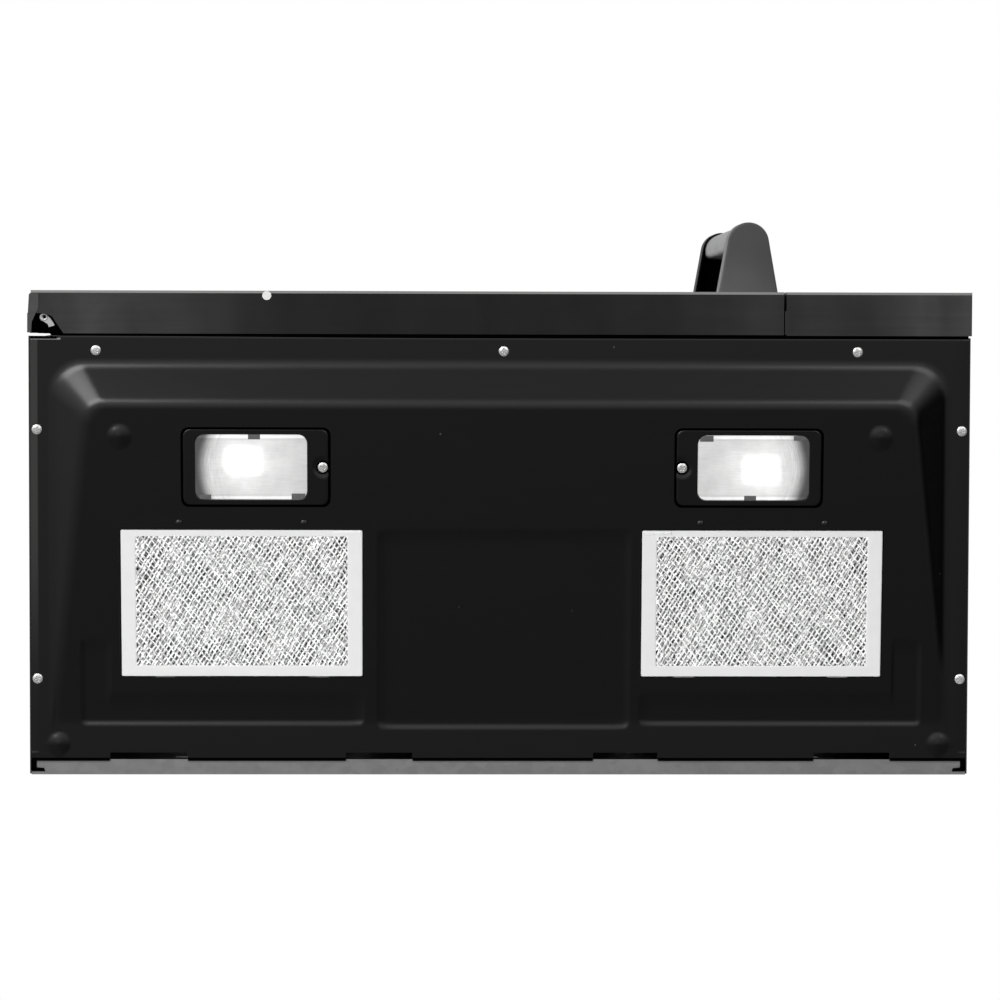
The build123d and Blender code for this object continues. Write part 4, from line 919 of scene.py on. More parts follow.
def base_piece():
    """The stamped base plate with its openings, notches and half-round vents."""
    lamps = [(PANEL_SHIFT + s * LAMP_X, LAMP_T, *LAMP_OPENING) for s in (-1, 1)]
    filters = [(PANEL_SHIFT + s * FILTER_X, FILTER_T, *FILTER_OPENING) for s in (-1, 1)]
    openings = lamps + filters
    rear_slots = [(-314.0, -251.6), (-124.0, -70.6), (75.6, 127.7), (254.0, 315.7)]
    slot_front, base_depth = 335.4, 341.0
    fixed_x = [o[0] + s * (o[2] + OPENING_MARGIN) for o in openings for s in (-1, 1)]
    fixed_x += [end for span in rear_slots for end in span]
    fixed_x += [-371.8, -370.9, -354.5, 370.9, 371.8]
    fixed_t = [o[1] + s * (o[3] + OPENING_MARGIN) for o in (lamps[0], filters[0]) for s in (-1, 1)]
    fixed_t += [0.5, 1.0, 1.5, 2.0, slot_front]
    # Close lines where the sheet bends: the sunk fields' edges, the bulge and the dimples.
    steps_x = [-99.7, 105.3]
    steps_x += [PANEL_SHIFT + s * e for s in (-1, 1) for e in (110.05, 313.5, 339.55)]
    fine_x = [(e - 3.6, e + 3.6, 0.9) for e in steps_x]
    for low, high, step in ((318, 361, 1.5), (294, 315, 1.3), (345, 365, 1.3)):
        fine_x += [(-high, -low, step), (low, high, step)]
    corners = [o[0] + s * (o[2] - 2) for o in lamps for s in (-1, 1)]
    fine_x += [(e - 5, e + 5, 1.2) for e in corners]
    fine_t = [(e - 5.4, e + 3.6, 0.9) for e in (154.2, 316.8, 287.0, 314.0, 243.0)]
    fine_t += [(15, 30, 1.0), (45, 60, 1.0), (30, 45, 2.5), (69, 91, 1.3), (318, 338, 1.3)]
    xs = lines_between(-BASE_HALF, BASE_HALF, 7.0, fixed_x, fine_x)
    ts = lines_between(0.0, base_depth, 7.0, fixed_t, fine_t)
    notches = [(a, b, slot_front, base_depth + 1) for a, b in rear_slots]
    notches.append((-380, -354.5, -1, 2))
    points, quads = pressed_sheet(xs, ts, base_level, openings, notches)
    parts = [thick_sheet(points, quads[:, ::-1], SHEET)]
    for x in (-FILTER_X, FILTER_X):
        parts += [half_round_vent(PANEL_SHIFT + x + offset, 148.5) for offset in (-50, 50)]
    piece = make_piece("base_plate_sheet", joined(parts), "black_enamel", "cabinet", 40)
    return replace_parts(piece, "base_plate")


def half_round_vent(x, t):
    """A lanced vent: a quarter of an egg, 6 mm wide, open towards the back.

    Its points are the middle plus the half axes times (cos a sin b, -sin a sin b, -cos b).
    The inside is the same egg at 0.78 of the size.
    """
    a, b = np.meshgrid(np.linspace(0, np.pi, 17), np.linspace(0.08, np.pi / 2, 9), indexing="ij")
    egg = np.stack([np.cos(a) * np.sin(b), -np.sin(a) * np.sin(b), -np.cos(b)], -1)
    egg = egg.reshape(-1, 3) * (3.0, 3.4, 1.5)
    middle = np.array((x, FRONT + t + 1.2, base_level(np.array([x]), np.array([t]))[0] + 0.25))
    return thick_sheet(egg + middle, grid_faces(17, 9), egg * 0.78 - egg)


# ---------------------------------------------------------------- round profiles


def circle(angles):
    """Points of the unit circle at the angles."""
    return np.stack([np.cos(angles), np.sin(angles)], -1)


def full_turn(count):
    """That many angles round a full turn."""
    return np.linspace(0, 2 * np.pi, count + 1)[:-1]


def turned(profile, count, centre, x_dir, y_dir, z_dir):
    """A profile of (radius, height) pairs carried round an axis.

    Its points are centre + r cos a x + r sin a y + h z.
    """
    a = np.arange(count) * 2 * np.pi / count
    r, h = (np.array(values, float)[:, None, None] for values in zip(*profile))
    x_dir, y_dir, z_dir = (np.asarray(v, float) for v in (x_dir, y_dir, z_dir))
    round_x, round_y = (turn[:, None] for turn in (np.cos(a), np.sin(a)))
    points = centre + r * round_x * x_dir + r * round_y * y_dir + h * z_dir
    return points.reshape(-1, 3), grid_faces(len(profile), count, wrap=True)


def screw_head(centre, out, across, radius, height, spin):
    """A pan head with a cross recess, standing along out from centre.

    The dome's height is height times the root of 1 - 0.8 (r/R)^2. The recess is a cross
    with arms 0.28 R wide that reach 0.58 R: its depth falls off over 0.09 R beyond them.
    """
    count = 48
    out, across = np.asarray(out, float), np.asarray(across, float)
    other = np.cross(out, across)
    rings = np.concatenate([np.linspace(0.04, 0.72, 18), np.linspace(0.77, 1.0, 7)]) * radius
    a = np.arange(count) * 2 * np.pi / count
    r, turn = np.meshgrid(rings, a, indexing="ij")
    x, y = r * np.cos(turn), r * np.sin(turn)
    arm_x = np.abs(x * math.cos(spin) - y * math.sin(spin))
    arm_y = np.abs(x * math.sin(spin) + y * math.cos(spin))
    near = np.minimum(arm_x, arm_y) - 0.14 * radius
    reach = np.maximum(arm_x, arm_y) - 0.58 * radius
    recess = smooth_step(-np.maximum(near, reach) / (0.09 * radius) + 0.5)
    dome = height * np.sqrt(1 - 0.8 * (r / radius) ** 2) - 0.62 * height * recess
    skirt = np.array([1.0, 0.985, 0.6])[:, None] * radius * np.ones(count)
    foot = np.array([0.12, 0.0, 0.0])[:, None] * height * np.ones(count)
    x = np.concatenate([x, skirt * np.cos(a)])[..., None]
    y = np.concatenate([y, skirt * np.sin(a)])[..., None]
    lift = np.concatenate([dome, foot])[..., None]
    points = (centre + x * across + y * other + lift * out).reshape(-1, 3)
    shape = with_pole((points, grid_faces(len(lift), count, wrap=True)[:, ::-1]), 0, count)
    return with_pole(shape, (len(lift) - 1) * count, count, flip=True)


def on_panel(local, x, t, turn=1.0):
    """Points (x, y, lift) laid on the panel round a middle, half a turn about if turn is -1."""
    local = np.asarray(local, float).reshape(-1, 3)
    across, along, lift = local[:, :1], local[:, 1:2], local[:, 2:]
    return panel_point(x, t) + turn * across * PANEL_X + turn * along * PANEL_Y + lift * PANEL_Z


def on_lamp(shape, side):
    """A shape drawn round a lamp's middle, laid there; the left one is turned half about."""
    return on_panel(shape[0], side * LAMP_X, LAMP_T, side), shape[1]


def on_filter(shape, side):
    """A shape drawn round a filter's middle, laid there."""
    return on_panel(shape[0], side * FILTER_X, FILTER_T), shape[1]


def screws():
    """Pan head screws: seven through the base and one in each lamp cover."""
    spins = np.random.default_rng(7).uniform(0, np.pi / 2, 9)
    places = [(-324.6, 11.5), (2.5, 11.5), (287.4, 11.5)]
    places += [(x, t) for t in (75, 275.5) for x in (-372, 372)]
    heads = []
    for (x, t), spin in zip(places, spins):
        heads.append(screw_head((x, FRONT + t, 0.0), (0, 0, -1), (1, 0, 0), 4.0, 1.9, spin))
    piece = make_piece("base_screw_heads", joined(heads), "screw_steel", "cabinet", 50)
    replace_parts(piece, "cabinet_screws")
    for side, name, spin in ((-1, "left", 0.5), (1, "right", 1.1)):
        middle = panel_point(side * LAMP_X, LAMP_T) - side * LAMP_SCREW_X * PANEL_X + 0.2 * PANEL_Z
        head = screw_head(middle, -PANEL_Z, PANEL_X, 3.9, 1.7, spin)
        piece = make_piece(f"lamp_screw_head_{name}", head, "screw_steel", f"lamp_cover_{name}", 50)
        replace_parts(piece, f"lamp_screw_{name}")


def rounded_loop(half_x, half_y, corner, arc=8, along=(30, 60)):
    """Points round a rounded rectangle, the same number of them for any size."""
    points = []
    reach = np.array((half_x - corner, half_y - corner))
    corners = ((1, 1), (-1, 1), (-1, -1), (1, -1))
    ways = ((-1, 0), (0, -1), (1, 0), (0, 1))
    for quarter, (toward, way) in enumerate(zip(corners, ways)):
        bend = toward * reach + corner * circle((quarter + np.linspace(0, 1, arc + 1)) * np.pi / 2)
        count = along[1 - quarter % 2]
        step = np.linspace(0, 1, count + 2)[1:-1][:, None]
        points += [bend, bend[-1] + step * 2 * reach[quarter % 2] * np.array(way)]
    return np.concatenate(points)


def between(outer, inner, steps):
    """Loops between two outlines, each with a height, from steps (share of the way, height)."""
    return [(outer + share * (inner - outer), height) for share, height in steps]


def loops_sheet(loops):
    """A ring-shaped surface through (loop of points, height) pairs."""
    count = len(loops[0][0])
    points = [np.column_stack([loop, np.full(count, height)]) for loop, height in loops]
    return np.concatenate(points), grid_faces(len(loops), count, wrap=True)


def with_pole(shape, ring, count, flip=False):
    """The shape with a ring of count points, from index ring on, closed to its middle."""
    points, quads = shape
    a = ring + np.arange(count)
    b = ring + (np.arange(count) + 1) % count
    if flip:
        a, b = b, a
    middle = np.full(count, len(points))
    fan = np.stack([a, b, middle, middle], 1)
    return np.concatenate([points, points[a].mean(0)[None]]), np.concatenate([quads, fan])


def lamp_tongue(y):
    """A tongue at a cover's outer end: it rises over the panel's edge and carries the cover."""

    def rise(x, _):
        return 0.95 + 0.75 * smooth_step((x - 54) / 4)

    return blade((51, 67), (y - TONGUE_HALF, y + TONGUE_HALF), (7, 5), rise, 0.8)


def lamp_clip(x, y, half_x, half_y):
    """A small spring clip at the lens's edge, dished by 0.12 mm one way and 0.05 the other."""

    def dished(u, v):
        return 0.25 + 0.12 * ((u - x) / half_x) ** 2 + 0.05 * ((v - y) / half_y) ** 2

    return blade((x - half_x, x + half_x), (y - half_y, y + half_y), (5, 5), dished, 0.3)


def lamp_cover(name, side):
    """A lamp cover: a flat ring with rolled edges and a round sunk spot at its screw.

    Between the window's outline and its own the sheet is level; both edges turn up by a
    quarter circle. The spot rises 1 mm inside a circle of 6 to 8.4 mm radius. Dark rings of
    painted shade fill the gap round the cover and the seat of its screw, and three clips hold the
    lens.
    """
    rim = rounded_loop(58.1, 30.3, 5.4)
    hole = rounded_loop(44.7, 26.2, 7.4) + (LENS_SHIFT, 0.0)
    steps = [(0.0, 1.5), (0.004, 0.75), (0.02, 0.34), (0.05, 0.16), (0.09, 0.05)]
    steps += [(share, 0.0) for share in np.linspace(0.13, 0.94, 22)]
    steps += [(0.96, 0.05), (0.982, 0.25), (0.996, 0.7), (1.0, 1.1)]
    points, quads = loops_sheet(between(rim, hole, steps))
    r = np.hypot(points[:, 0] + 53.4, points[:, 1])
    points[:, 2] += smooth_step((8.4 - r) / 2.4) * (points[:, 2] < 0.4)
    parts = [thick_sheet(points, quads[:, ::-1], 0.9)] + [lamp_tongue(y) for y in (-18, 18)]
    shape = on_lamp(joined(parts), side)
    piece = make_piece(f"lamp_cover_plate_{name}", shape, "black_enamel", f"lamp_cover_{name}", 40)
    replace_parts(piece, f"lamp_cover_{name}")
    # Painted shade: dark rings in the gap round the cover and round the screw's seat.
    gap = [(rounded_loop(*size), 1.62) for size in ((60.4, 32.6, 7.0), (57.0, 29.2, 5.0))]
    seat = [(r * circle(full_turn(40)) - (LAMP_SCREW_X, 0), 0.93) for r in (5.5, 3.0)]
    dark = []
    for points, quads in (loops_sheet(gap), loops_sheet(seat)):
        dark.append(thick_sheet(points, quads[:, ::-1], 0.12))
    piece = make_piece(f"lamp_gap_{name}", on_lamp(joined(dark), side), "dark_liner_and_painted_shade", "cabinet")
    places = ((1.3, 24.3, 4.8, 1.9), (-34.0, -23.6, 5.4, 2.4), (40.3, -24.0, 4.6, 1.8))
    shape = on_lamp(joined([lamp_clip(*place) for place in places]), side)
    piece = make_piece(f"lamp_clips_{name}", shape, "clip_steel", f"lamp_cover_{name}")


def lamp_lens(name, side):
    """Pressed glass lens: a low pillow with fine flutes along it and a step near its edge.

    The pillow stands 1 - x^4 over 1 - y^4, the flutes are 0.09 mm cosines 1.7 mm apart.
    """
    shares = np.concatenate([np.linspace(1.0, 0.9, 6), np.linspace(0.87, 0.04, 30)])
    size = np.array((LENS_HALF_X, LENS_HALF_Y, LENS_CORNER))
    loops = [(rounded_loop(*(size * s), 6, (30, 46)) + (LENS_SHIFT, 0), 0.0) for s in shares]
    points, quads = loops_sheet(loops)
    x, y = (points[:, 0] - LENS_SHIFT) / LENS_HALF_X, points[:, 1] / LENS_HALF_Y
    inside = smooth_step((1.0 - np.maximum(np.abs(x), np.abs(y))) / 0.09)
    pillow = (1 - x**4) * (1 - y**4)
    flutes = 0.09 * np.cos(2 * np.pi * points[:, 1] / 1.7) * inside
    points[:, 2] = 1.15 - 0.45 * inside - 0.3 * pillow + flutes
    count = len(loops[0][0])
    points, quads = with_pole((points, quads), len(points) - count, count)
    shape = on_lamp(thick_sheet(points, quads[:, ::-1], 2.2), side)
    finish, body = f"lamp_glass_{name}", f"lamp_cover_{name}"
    piece = make_piece(f"lamp_lens_{name}", shape, finish, body, 50)
    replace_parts(piece, f"lamp_glass_{name}")


# ---------------------------------------------------------------- grease filters


def filter_lip(middle):
    """The pull lip on a filter's front edge: a half round that bows out at its middle."""
    half, front, deep = 11, -58.9, 2.9

    def curl(x, y):
        bow = 1 - ((x - middle) / half) ** 2
        return -0.75 * np.sin((y - front) / deep * np.pi) - 0.05 * bow

    return blade((middle - half, middle + half), (front, front + deep), (9, 7), curl, 0.35)


def filter_tongue(middle):
    """A flat tongue at a filter's back edge, which goes under the panel."""
    return blade((middle - 8, middle + 8), (57.5, 66.6), (5, 6), lambda x, _: 1.25 + 0 * x, 0.9)


def filter_border(name, side):
    """The filter's channel frame: a flat border with rounded outer folds, a little wavy.

    Loops run from the outer wall round the fold and across to the window's edge. The
    border's height adds a 0.1 mm ripple, the product of two slow sines.
    """
    along = (60, 96)
    rim = rounded_loop(96.75, 59.4, 1.2, 4, along)
    hole = rounded_loop(84.75, 52.45, 0.8, 4, along) + (0, -MESH_SHIFT)
    steps = [(0.0, 3.0), (0.0, 0.55), (0.01, 0.22), (0.035, 0.05), (0.08, 0.0)]
    steps += [(share, 0.0) for share in np.linspace(0.2, 0.86, 5)]
    steps += [(0.93, 0.03), (0.975, 0.12), (1.0, 0.4), (1.0, 0.75)]
    points, quads = loops_sheet(between(rim, hole, steps))
    ripple = 0.1 * np.sin(points[:, 0] / 14 + side) * np.sin(points[:, 1] / 11 + 0.6)
    points[:, 2] += (ripple + 0.1) * (points[:, 2] < 1.5)
    parts = [thick_sheet(points, quads[:, ::-1], 0.45)]
    back, quads = loops_sheet([(rounded_loop(96.3, 58.95, 1.0, 4, along), 2.95), (hole, 2.95)])
    parts += [thick_sheet(back, quads[:, ::-1], 0.4), filter_lip(-side * 84.5)]
    parts += [filter_tongue(x) for x in (-62, 62)]
    points, quads = joined(parts)
    shape = on_filter((points + (0, 0, 0.4), quads), side)
    finish, body = "filter_aluminium", f"filter_{name}"
    piece = make_piece(f"filter_border_{name}", shape, finish, body, 40)
    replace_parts(piece, f"filter_frame_{name}")


def strands(angle, pitch, width, lift, seed, tilt):
    """Parallel flat strands of expanded mesh across the filter's window.

    Strands lie along an angle, a pitch apart give or take a fifth of it, and are cut off
    at the window's edges. They sway by slow sines in their plane and out of it, and the
    four-sided section (width by 0.22 mm) is turned by the tilt.
    """
    rng = np.random.default_rng(seed)
    u = np.array((math.cos(angle), math.sin(angle)))
    n = np.array((-u[1], u[0]))
    half = np.array((MESH_HALF_X, MESH_HALF_Y))
    reach = abs(n[0]) * half[0] + abs(n[1]) * half[1]
    offset = np.arange(-reach + pitch / 2, reach, pitch)
    offset = offset + rng.uniform(-0.2, 0.2, len(offset)) * pitch
    ends = (np.array([[-1, 1]]) * half[:, None])[None] - (offset[:, None] * n)[:, :, None]
    cuts = np.sort(ends / u[None, :, None], axis=2)
    low, high = cuts[:, :, 0].max(1), cuts[:, :, 1].min(1)
    keep = high - low > 2.5
    offset, low, high = offset[keep], low[keep], high[keep]
    count = len(offset)
    s = low[:, None] + (high - low)[:, None] * np.linspace(0, 1, STRAND_STEPS)
    phase = rng.uniform(0, 6.28, (2, count, 1))
    sway = 0.34 * np.sin(s / 1.9 + phase[0]) + 0.6 * np.sin(s / 19 + seed)
    rise = 0.16 * np.sin(s / 3.3 + phase[1])
    path = [offset[:, None] * n[i] + s * u[i] + sway * n[i] for i in (0, 1)]
    path_x, path_y = (np.clip(p, -h, h)[..., None] for p, h in zip(path, half))
    wide, thick = (np.array([(-1, -1), (1, -1), (1, 1), (-1, 1)]) * (width / 2, 0.11)).T
    across = wide * math.cos(tilt) - thick * math.sin(tilt)
    upward = wide * math.sin(tilt) + thick * math.cos(tilt)
    y = path_y + across * n[1] - MESH_SHIFT
    points = np.stack([path_x + across * n[0], y, lift + rise[..., None] + upward], -1)
    each = 4 * STRAND_STEPS
    caps = np.array([[3, 2, 1, 0], [each - 4, each - 3, each - 2, each - 1]])
    one = np.concatenate([grid_faces(STRAND_STEPS, 4, wrap=True), caps])
    quads = (one[None] + (np.arange(count) * each)[:, None, None]).reshape(-1, 4)
    return points.reshape(-1, 3), quads


def filter_shade_sheet():
    """A dark sheet behind the mesh, with ripples of 0.07 mm: painted shade seen between the
    strands.
    """

    def wavy(x, y):
        return 2.72 + 0.07 * np.sin(x / 2.9) * np.sin(y / 2.3)

    return blade((-85.2, 85.2), (-54.6, 51.2), (41, 27), wavy, 0.15)


def filter_strands(name, side):
    """Three layers of expanded aluminium mesh, each of two families, over a dark sheet of painted
    shade.
    """
    seed = 11 if side < 0 else 31
    layers = []
    shapes = ((-58, 50, 3.2, 1.25), (-62, 46, 3.0, 1.05), (-54, 55, 2.7, 0.9))
    for layer, (rise, fall, pitch, width) in enumerate(shapes):
        lift, draw = 0.95 + 0.55 * layer, seed + 2 * layer
        layers.append(strands(math.radians(rise), pitch, width, lift, draw, 0.25))
        pitch, width, lift = pitch * 1.3, width * 0.8, lift + 0.22
        layers.append(strands(math.radians(fall), pitch, width, lift, draw + 1, -0.2))
    shape, body = on_filter(joined(layers), side), f"filter_{name}"
    piece = make_piece(f"filter_strands_{name}", shape, "mesh_aluminium", body, 60)
    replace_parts(piece, f"filter_mesh_{name}")
    # The sheet behind the mesh is painted shade, darkened by the mesh finish's depth.
    shape = on_filter(filter_shade_sheet(), side)
    piece = make_piece(f"filter_shade_sheet_{name}", shape, "mesh_aluminium", body, 60)


# ---------------------------------------------------------------- handle, hinge and front edge


def closed_loops(loops):
    """A closed skin through (loop, height) pairs, with both ends filled."""
    count = len(loops[0][0])
    shape = with_pole(loops_sheet(loops), 0, count, flip=True)
    return with_pole(shape, (len(loops) - 1) * count, count)


def post_outline(inset, back_inset=0.0):
    """A handle post's outline: straight sides tangent to a round tip, 120 points.

    The tip's radius and half the foot's width shrink by the inset. A side leaves the
    foot's corner A and meets the tip's circle at the angle of A less acos(radius / |A|).
    """
    radius, half = POST_TIP - inset, POST_FOOT - inset
    foot = np.array((half, FACE - back_inset - POST_TIP_Y))
    angle = math.atan2(foot[1], foot[0]) - math.acos(radius / np.linalg.norm(foot))
    tip = radius * circle(np.linspace(math.pi - angle, 2 * math.pi + angle, 61))
    share = np.linspace(0, 1, 21)[:-1, None]
    left, right = foot * (-1, 1), foot
    base = right + share[:-1] / share[-2] * (left - right) * 0.95
    left_side = left + share * (tip[0] - left)
    right_side = tip[-1] + share[1:] * (right - tip[-1])
    outline = np.concatenate([base, left_side, tip, right_side])
    return outline + (HANDLE_X, POST_TIP_Y)


def handle_post(name, outer, inner):
    """A moulded post: closed at its outer face, open towards the bar, with rounded edges.

    Loops of the outline run from the middle of the outer face over a quarter round, up
    the side, over the rim and down into the pocket's floor. A dark liner lies within it.
    """
    up = 1.0 if inner > outer else -1.0
    middle = np.array((HANDLE_X, POST_TIP_Y + 12.0))

    def fill(inset, shares, height):
        return between(middle, post_outline(*inset), [(share, height) for share in shares])

    loops = fill((POST_ROUND,), (0.05, 0.3, 0.6, 0.85, 0.96), outer)
    for turn in np.linspace(0, math.pi / 2, 6):
        outline = post_outline(POST_ROUND * (1 - math.sin(turn)))
        loops.append((outline, outer + up * POST_ROUND * (1 - math.cos(turn))))
    loops += [(post_outline(0.0), outer + share * (inner - outer)) for share in (0.3, 0.7)]
    for turn in np.linspace(0, math.pi / 2, 4):
        outline = post_outline(POST_RIM * (1 - math.cos(turn)))
        loops.append((outline, inner - up * POST_RIM * (1 - math.sin(turn))))
    for inset, drop in ((1.2, 0.0), (1.4, 0.4), (1.6, 7.0), (1.7, POCKET_DEPTH)):
        loops.append((post_outline(inset, inset), inner - up * drop))
    loops += fill((1.7, 1.7), (0.7, 0.35, 0.05), inner - up * POCKET_DEPTH)
    points, quads = closed_loops(loops)
    shape = points, quads[:, :: int(up)]
    piece = make_piece(f"handle_post_body_{name}", shape, "post_plastic", "door", 50)
    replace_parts(piece, f"handle_post_{name}")

    loops = fill((2.1, 2.1), (0.05, 0.5), inner - up * 12.4)
    insets = [(2.2, 12.4), (2.0, 0.9), (1.0, -0.05), (0.35, -0.05), (0.35, 0.15), (1.3, 0.3)]
    for inset, drop in insets + [(1.72, 13.0)]:
        loops.append((post_outline(inset, max(0.2, inset - 0.3)), inner - up * drop))
    loops += fill((1.9, 1.9), (0.5, 0.05), inner - up * 13.0)
    points, quads = closed_loops(loops)
    shape = points, quads[:, :: -int(up)]
    piece = make_piece(f"handle_post_liner_{name}", shape, "dark_liner_and_painted_shade", "door", 50)


def handle_bar():
    """The bar: one section carried from post to post, ends set into the posts' pockets.

    The section is a half circle in front and a flat back with small rounded corners. It
    swells by 2% towards the middle of its length, by the sine of the share of the way.
    """
    radius, back, fillet = 14.8, 7.0, 5.0
    right = np.linspace(0, np.pi / 2, 13)
    corner = (radius - fillet, back - fillet)
    section = [corner + fillet * circle(right)]
    section += [corner * np.array((-1, 1)) + fillet * circle(right + np.pi / 2)]
    section += [radius * circle(np.linspace(np.pi, 2 * np.pi, 41)[:-1])]
    section = np.concatenate(section)
    low = HANDLE_LOW + POST_THICK - BAR_SET_IN
    high = HANDLE_TOP - POST_THICK + BAR_SET_IN
    share = np.linspace(0, 1, 41)
    swell = 1 + 0.02 * (np.sin(np.pi * share) - 0.6)
    sizes = [0.04 * swell[0], 0.5, 0.95, *swell, 0.95, 0.5, 0.04]
    heights = [low] * 3 + list(low + 0.4 + (high - low - 0.8) * share) + [high] * 3
    middle = (HANDLE_X, POST_TIP_Y)
    loops = [(section * size + middle, height) for size, height in zip(sizes, heights)]
    piece = make_piece("handle_bar_grip", closed_loops(loops), "handle_satin", "door", 40)
    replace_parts(piece, "handle_bar")


def flat_slab(outline, low, high, round_off=0.25):
    """A flat piece with the given outline and small rounded edges, closed all round."""
    after = np.roll(outline, -1, axis=0)
    if np.sum(outline[:, 0] * after[:, 1] - outline[:, 1] * after[:, 0]) < 0:
        outline = outline[::-1]
    middle = outline.mean(0)
    size = np.linalg.norm(outline - middle, axis=1).max()
    steps = [(0.03, 0.0), (0.6, 0.0), (1 - round_off / size, 0.0), (1.0, round_off)]
    loops = between(middle, outline, [(share, low + rise) for share, rise in steps])
    loops += between(middle, outline, [(share, high - rise) for share, rise in steps[::-1]])
    return closed_loops(loops)


def cut_slab(corners, low, high, round_off=0.25, step=1.5):
    """A flat slab cut to a closed outline of corners, with points about a step apart."""
    points = []
    for a, b in zip(corners, corners[1:] + corners[:1]):
        a, b = np.array(a, float), np.array(b, float)
        count = max(2, int(np.linalg.norm(b - a) / step))
        points.append(a + np.linspace(0, 1, count, endpoint=False)[:, None] * (b - a))
    return flat_slab(np.concatenate(points), low, high, round_off)


def bar_corners(x0, x1, y0, y1):
    """Corners of a rectangle, round from (x0, y0)."""
    return [(x0, y0), (x1, y0), (x1, y1), (x0, y1)]


def hinge_pieces():
    """Hinge eye and strap, the dark pocket round them, its lip and the strap's root, with painted
    shade in the eye's bore and along the edge beside the root.
    """
    hx, hy = HINGE_X - 1.4, HINGE_Y + 0.3
    ring = circle(full_turn(48))
    rings = [(0.06, 3.1), (1.2, 3.1), (1.5, 2.9), (1.7, 2.6), (2.2, 2.4), (2.9, 2.5), (3.4, 2.9)]
    rings += [(3.4, 3.75), (0.06, 3.75)]
    eye = closed_loops([((hx, hy) + r * ring, z) for r, z in rings])
    strap = [(2.5, -2.0), (5.4, 1.2), (8.7, 6.1), (8.4, 6.9), (4.0, 8.3), (3.0, 5.6), (-1.2, 3.1)]
    strap = cut_slab([(hx + x, hy + y) for x, y in strap], 2.9, 3.75, 0.35, 1.0)
    piece = make_piece("hinge_eye_lower", joined([eye, strap]), "bright_steel", "cabinet", 40)
    # Painted shade: a dark disc at the bottom of the eye's bore.
    bore = flat_slab((hx + 0.6, hy - 0.2) + (1.3, 1.4) * ring, 2.3, 2.45, 0.05)
    piece = make_piece("hinge_eye_bore_lower", bore, "dark_liner_and_painted_shade", "cabinet", 40)
    pocket = [(-347.2, -355.4), (-353.8, -359.7), (-359.3, -372.6), (-369.8, -374.1)]
    pocket = cut_slab(pocket + [(-378.4, -368.4), (-378.4, -355.5)], 8.3, 8.9)
    piece = make_piece("hinge_pocket_lower", pocket, "dark_liner_and_painted_shade", "door", 40)
    side_lip = [(-353.6, -359.8), (-359.1, -373.6), (-359.6, -368.8)]
    top_lip = [(-358.6, -374.8), (-371.9, -376.3), (-371.9, -371.3), (-366.4, -371.3)]
    top_lip.append((-359.5, -368.9))
    parts = [cut_slab(lip, -0.06, 0.8, 0.1, 0.8) for lip in (side_lip, top_lip)]
    piece = make_piece("hinge_pocket_lip", joined(parts), "door_underside", "door", 40)
    boot = [(-351.6, -355.0), (-351.6, -351.2), (-373.2, -351.2), (-373.2, -352.4)]
    boot.append((-362.0, -353.8))
    # Painted shade: a thin dark slab along the edge beside the boot.
    shade = bar_corners(-377.4, -354.7, -353.2, -351.1)
    parts = [cut_slab(boot, 4.2, 8.2, 0.8), cut_slab(shade, 1.2, 1.6, 0.1)]
    piece = make_piece("hinge_boot_and_shade_lower", joined(parts), "dark_liner_and_painted_shade", "cabinet", 40)


def front_edges():
    """A dark round strip of painted shadow in the gap behind the door, a pale strip of painted
    highlight on the base's corner edge, the door's end and the strip that narrows the gap between
    door and control side."""
    # Painted shadow: a dark round strip filling the gap between the door and the base's front edge.
    u, a = np.linspace(-353.0, 377.0, 130), full_turn(16)
    along, turn = np.meshgrid(u, a, indexing="ij")
    wider = 0.5 * front_trim(along)
    across = FRONT - 0.80 + 0.05 * np.sin(along / 37) + wider + (0.97 + wider) * np.cos(turn)
    points = np.stack([along, across, 2.7 + 1.9 * np.sin(turn)], -1).reshape(-1, 3)
    shape = with_pole((points, grid_faces(len(u), len(a), wrap=True)), 0, len(a), flip=True)
    shape = with_pole(shape, (len(u) - 1) * len(a), len(a))
    make_piece("door_gap_shadow", shape, "dark_liner_and_painted_shade", "cabinet", 60)
    # Painted highlight: a pale strip and knob on the edge at the base's front left corner.
    edge = bar_corners(-377.3, -355.4, FRONT + 2.5, FRONT + 3.0)
    knob = bar_corners(-355.8, -352.8, FRONT + 1.6, FRONT + 3.1)
    parts = [cut_slab(edge, -0.15, 0.5, 0.15), cut_slab(knob, -0.35, 0.9, 0.3, 0.6)]
    piece = make_piece("base_corner_painted_highlight", joined(parts), "corner_highlight_grey", "cabinet", 40)
    head = [(-378.0, -386.4), (-376.9, -387.5), (-370.2, -387.5), (-370.2, -376.2)]
    head += [(-372.0, -371.6), (-379.0, -369.4)]
    foot = [(-379.3, -371.4), (-372.4, -371.4), (-375.6, -364.6), (-376.2, -355.9)]
    foot.append((-379.4, -355.9))
    parts = [cut_slab(head, -0.55, 0.3, 0.2), cut_slab(foot, -0.95, -0.45, 0.2, 1.0)]
    make_piece("door_end_cap", joined(parts), "end_cap_grey", "door", 40)
    strip = cut_slab(bar_corners(228.7, 230.1, -374.6, -355.6), 0.1, 340.0, 0.2, 0.5)
    piece = make_piece("control_gap_strip", strip, "black_plastic", "cabinet", 40)


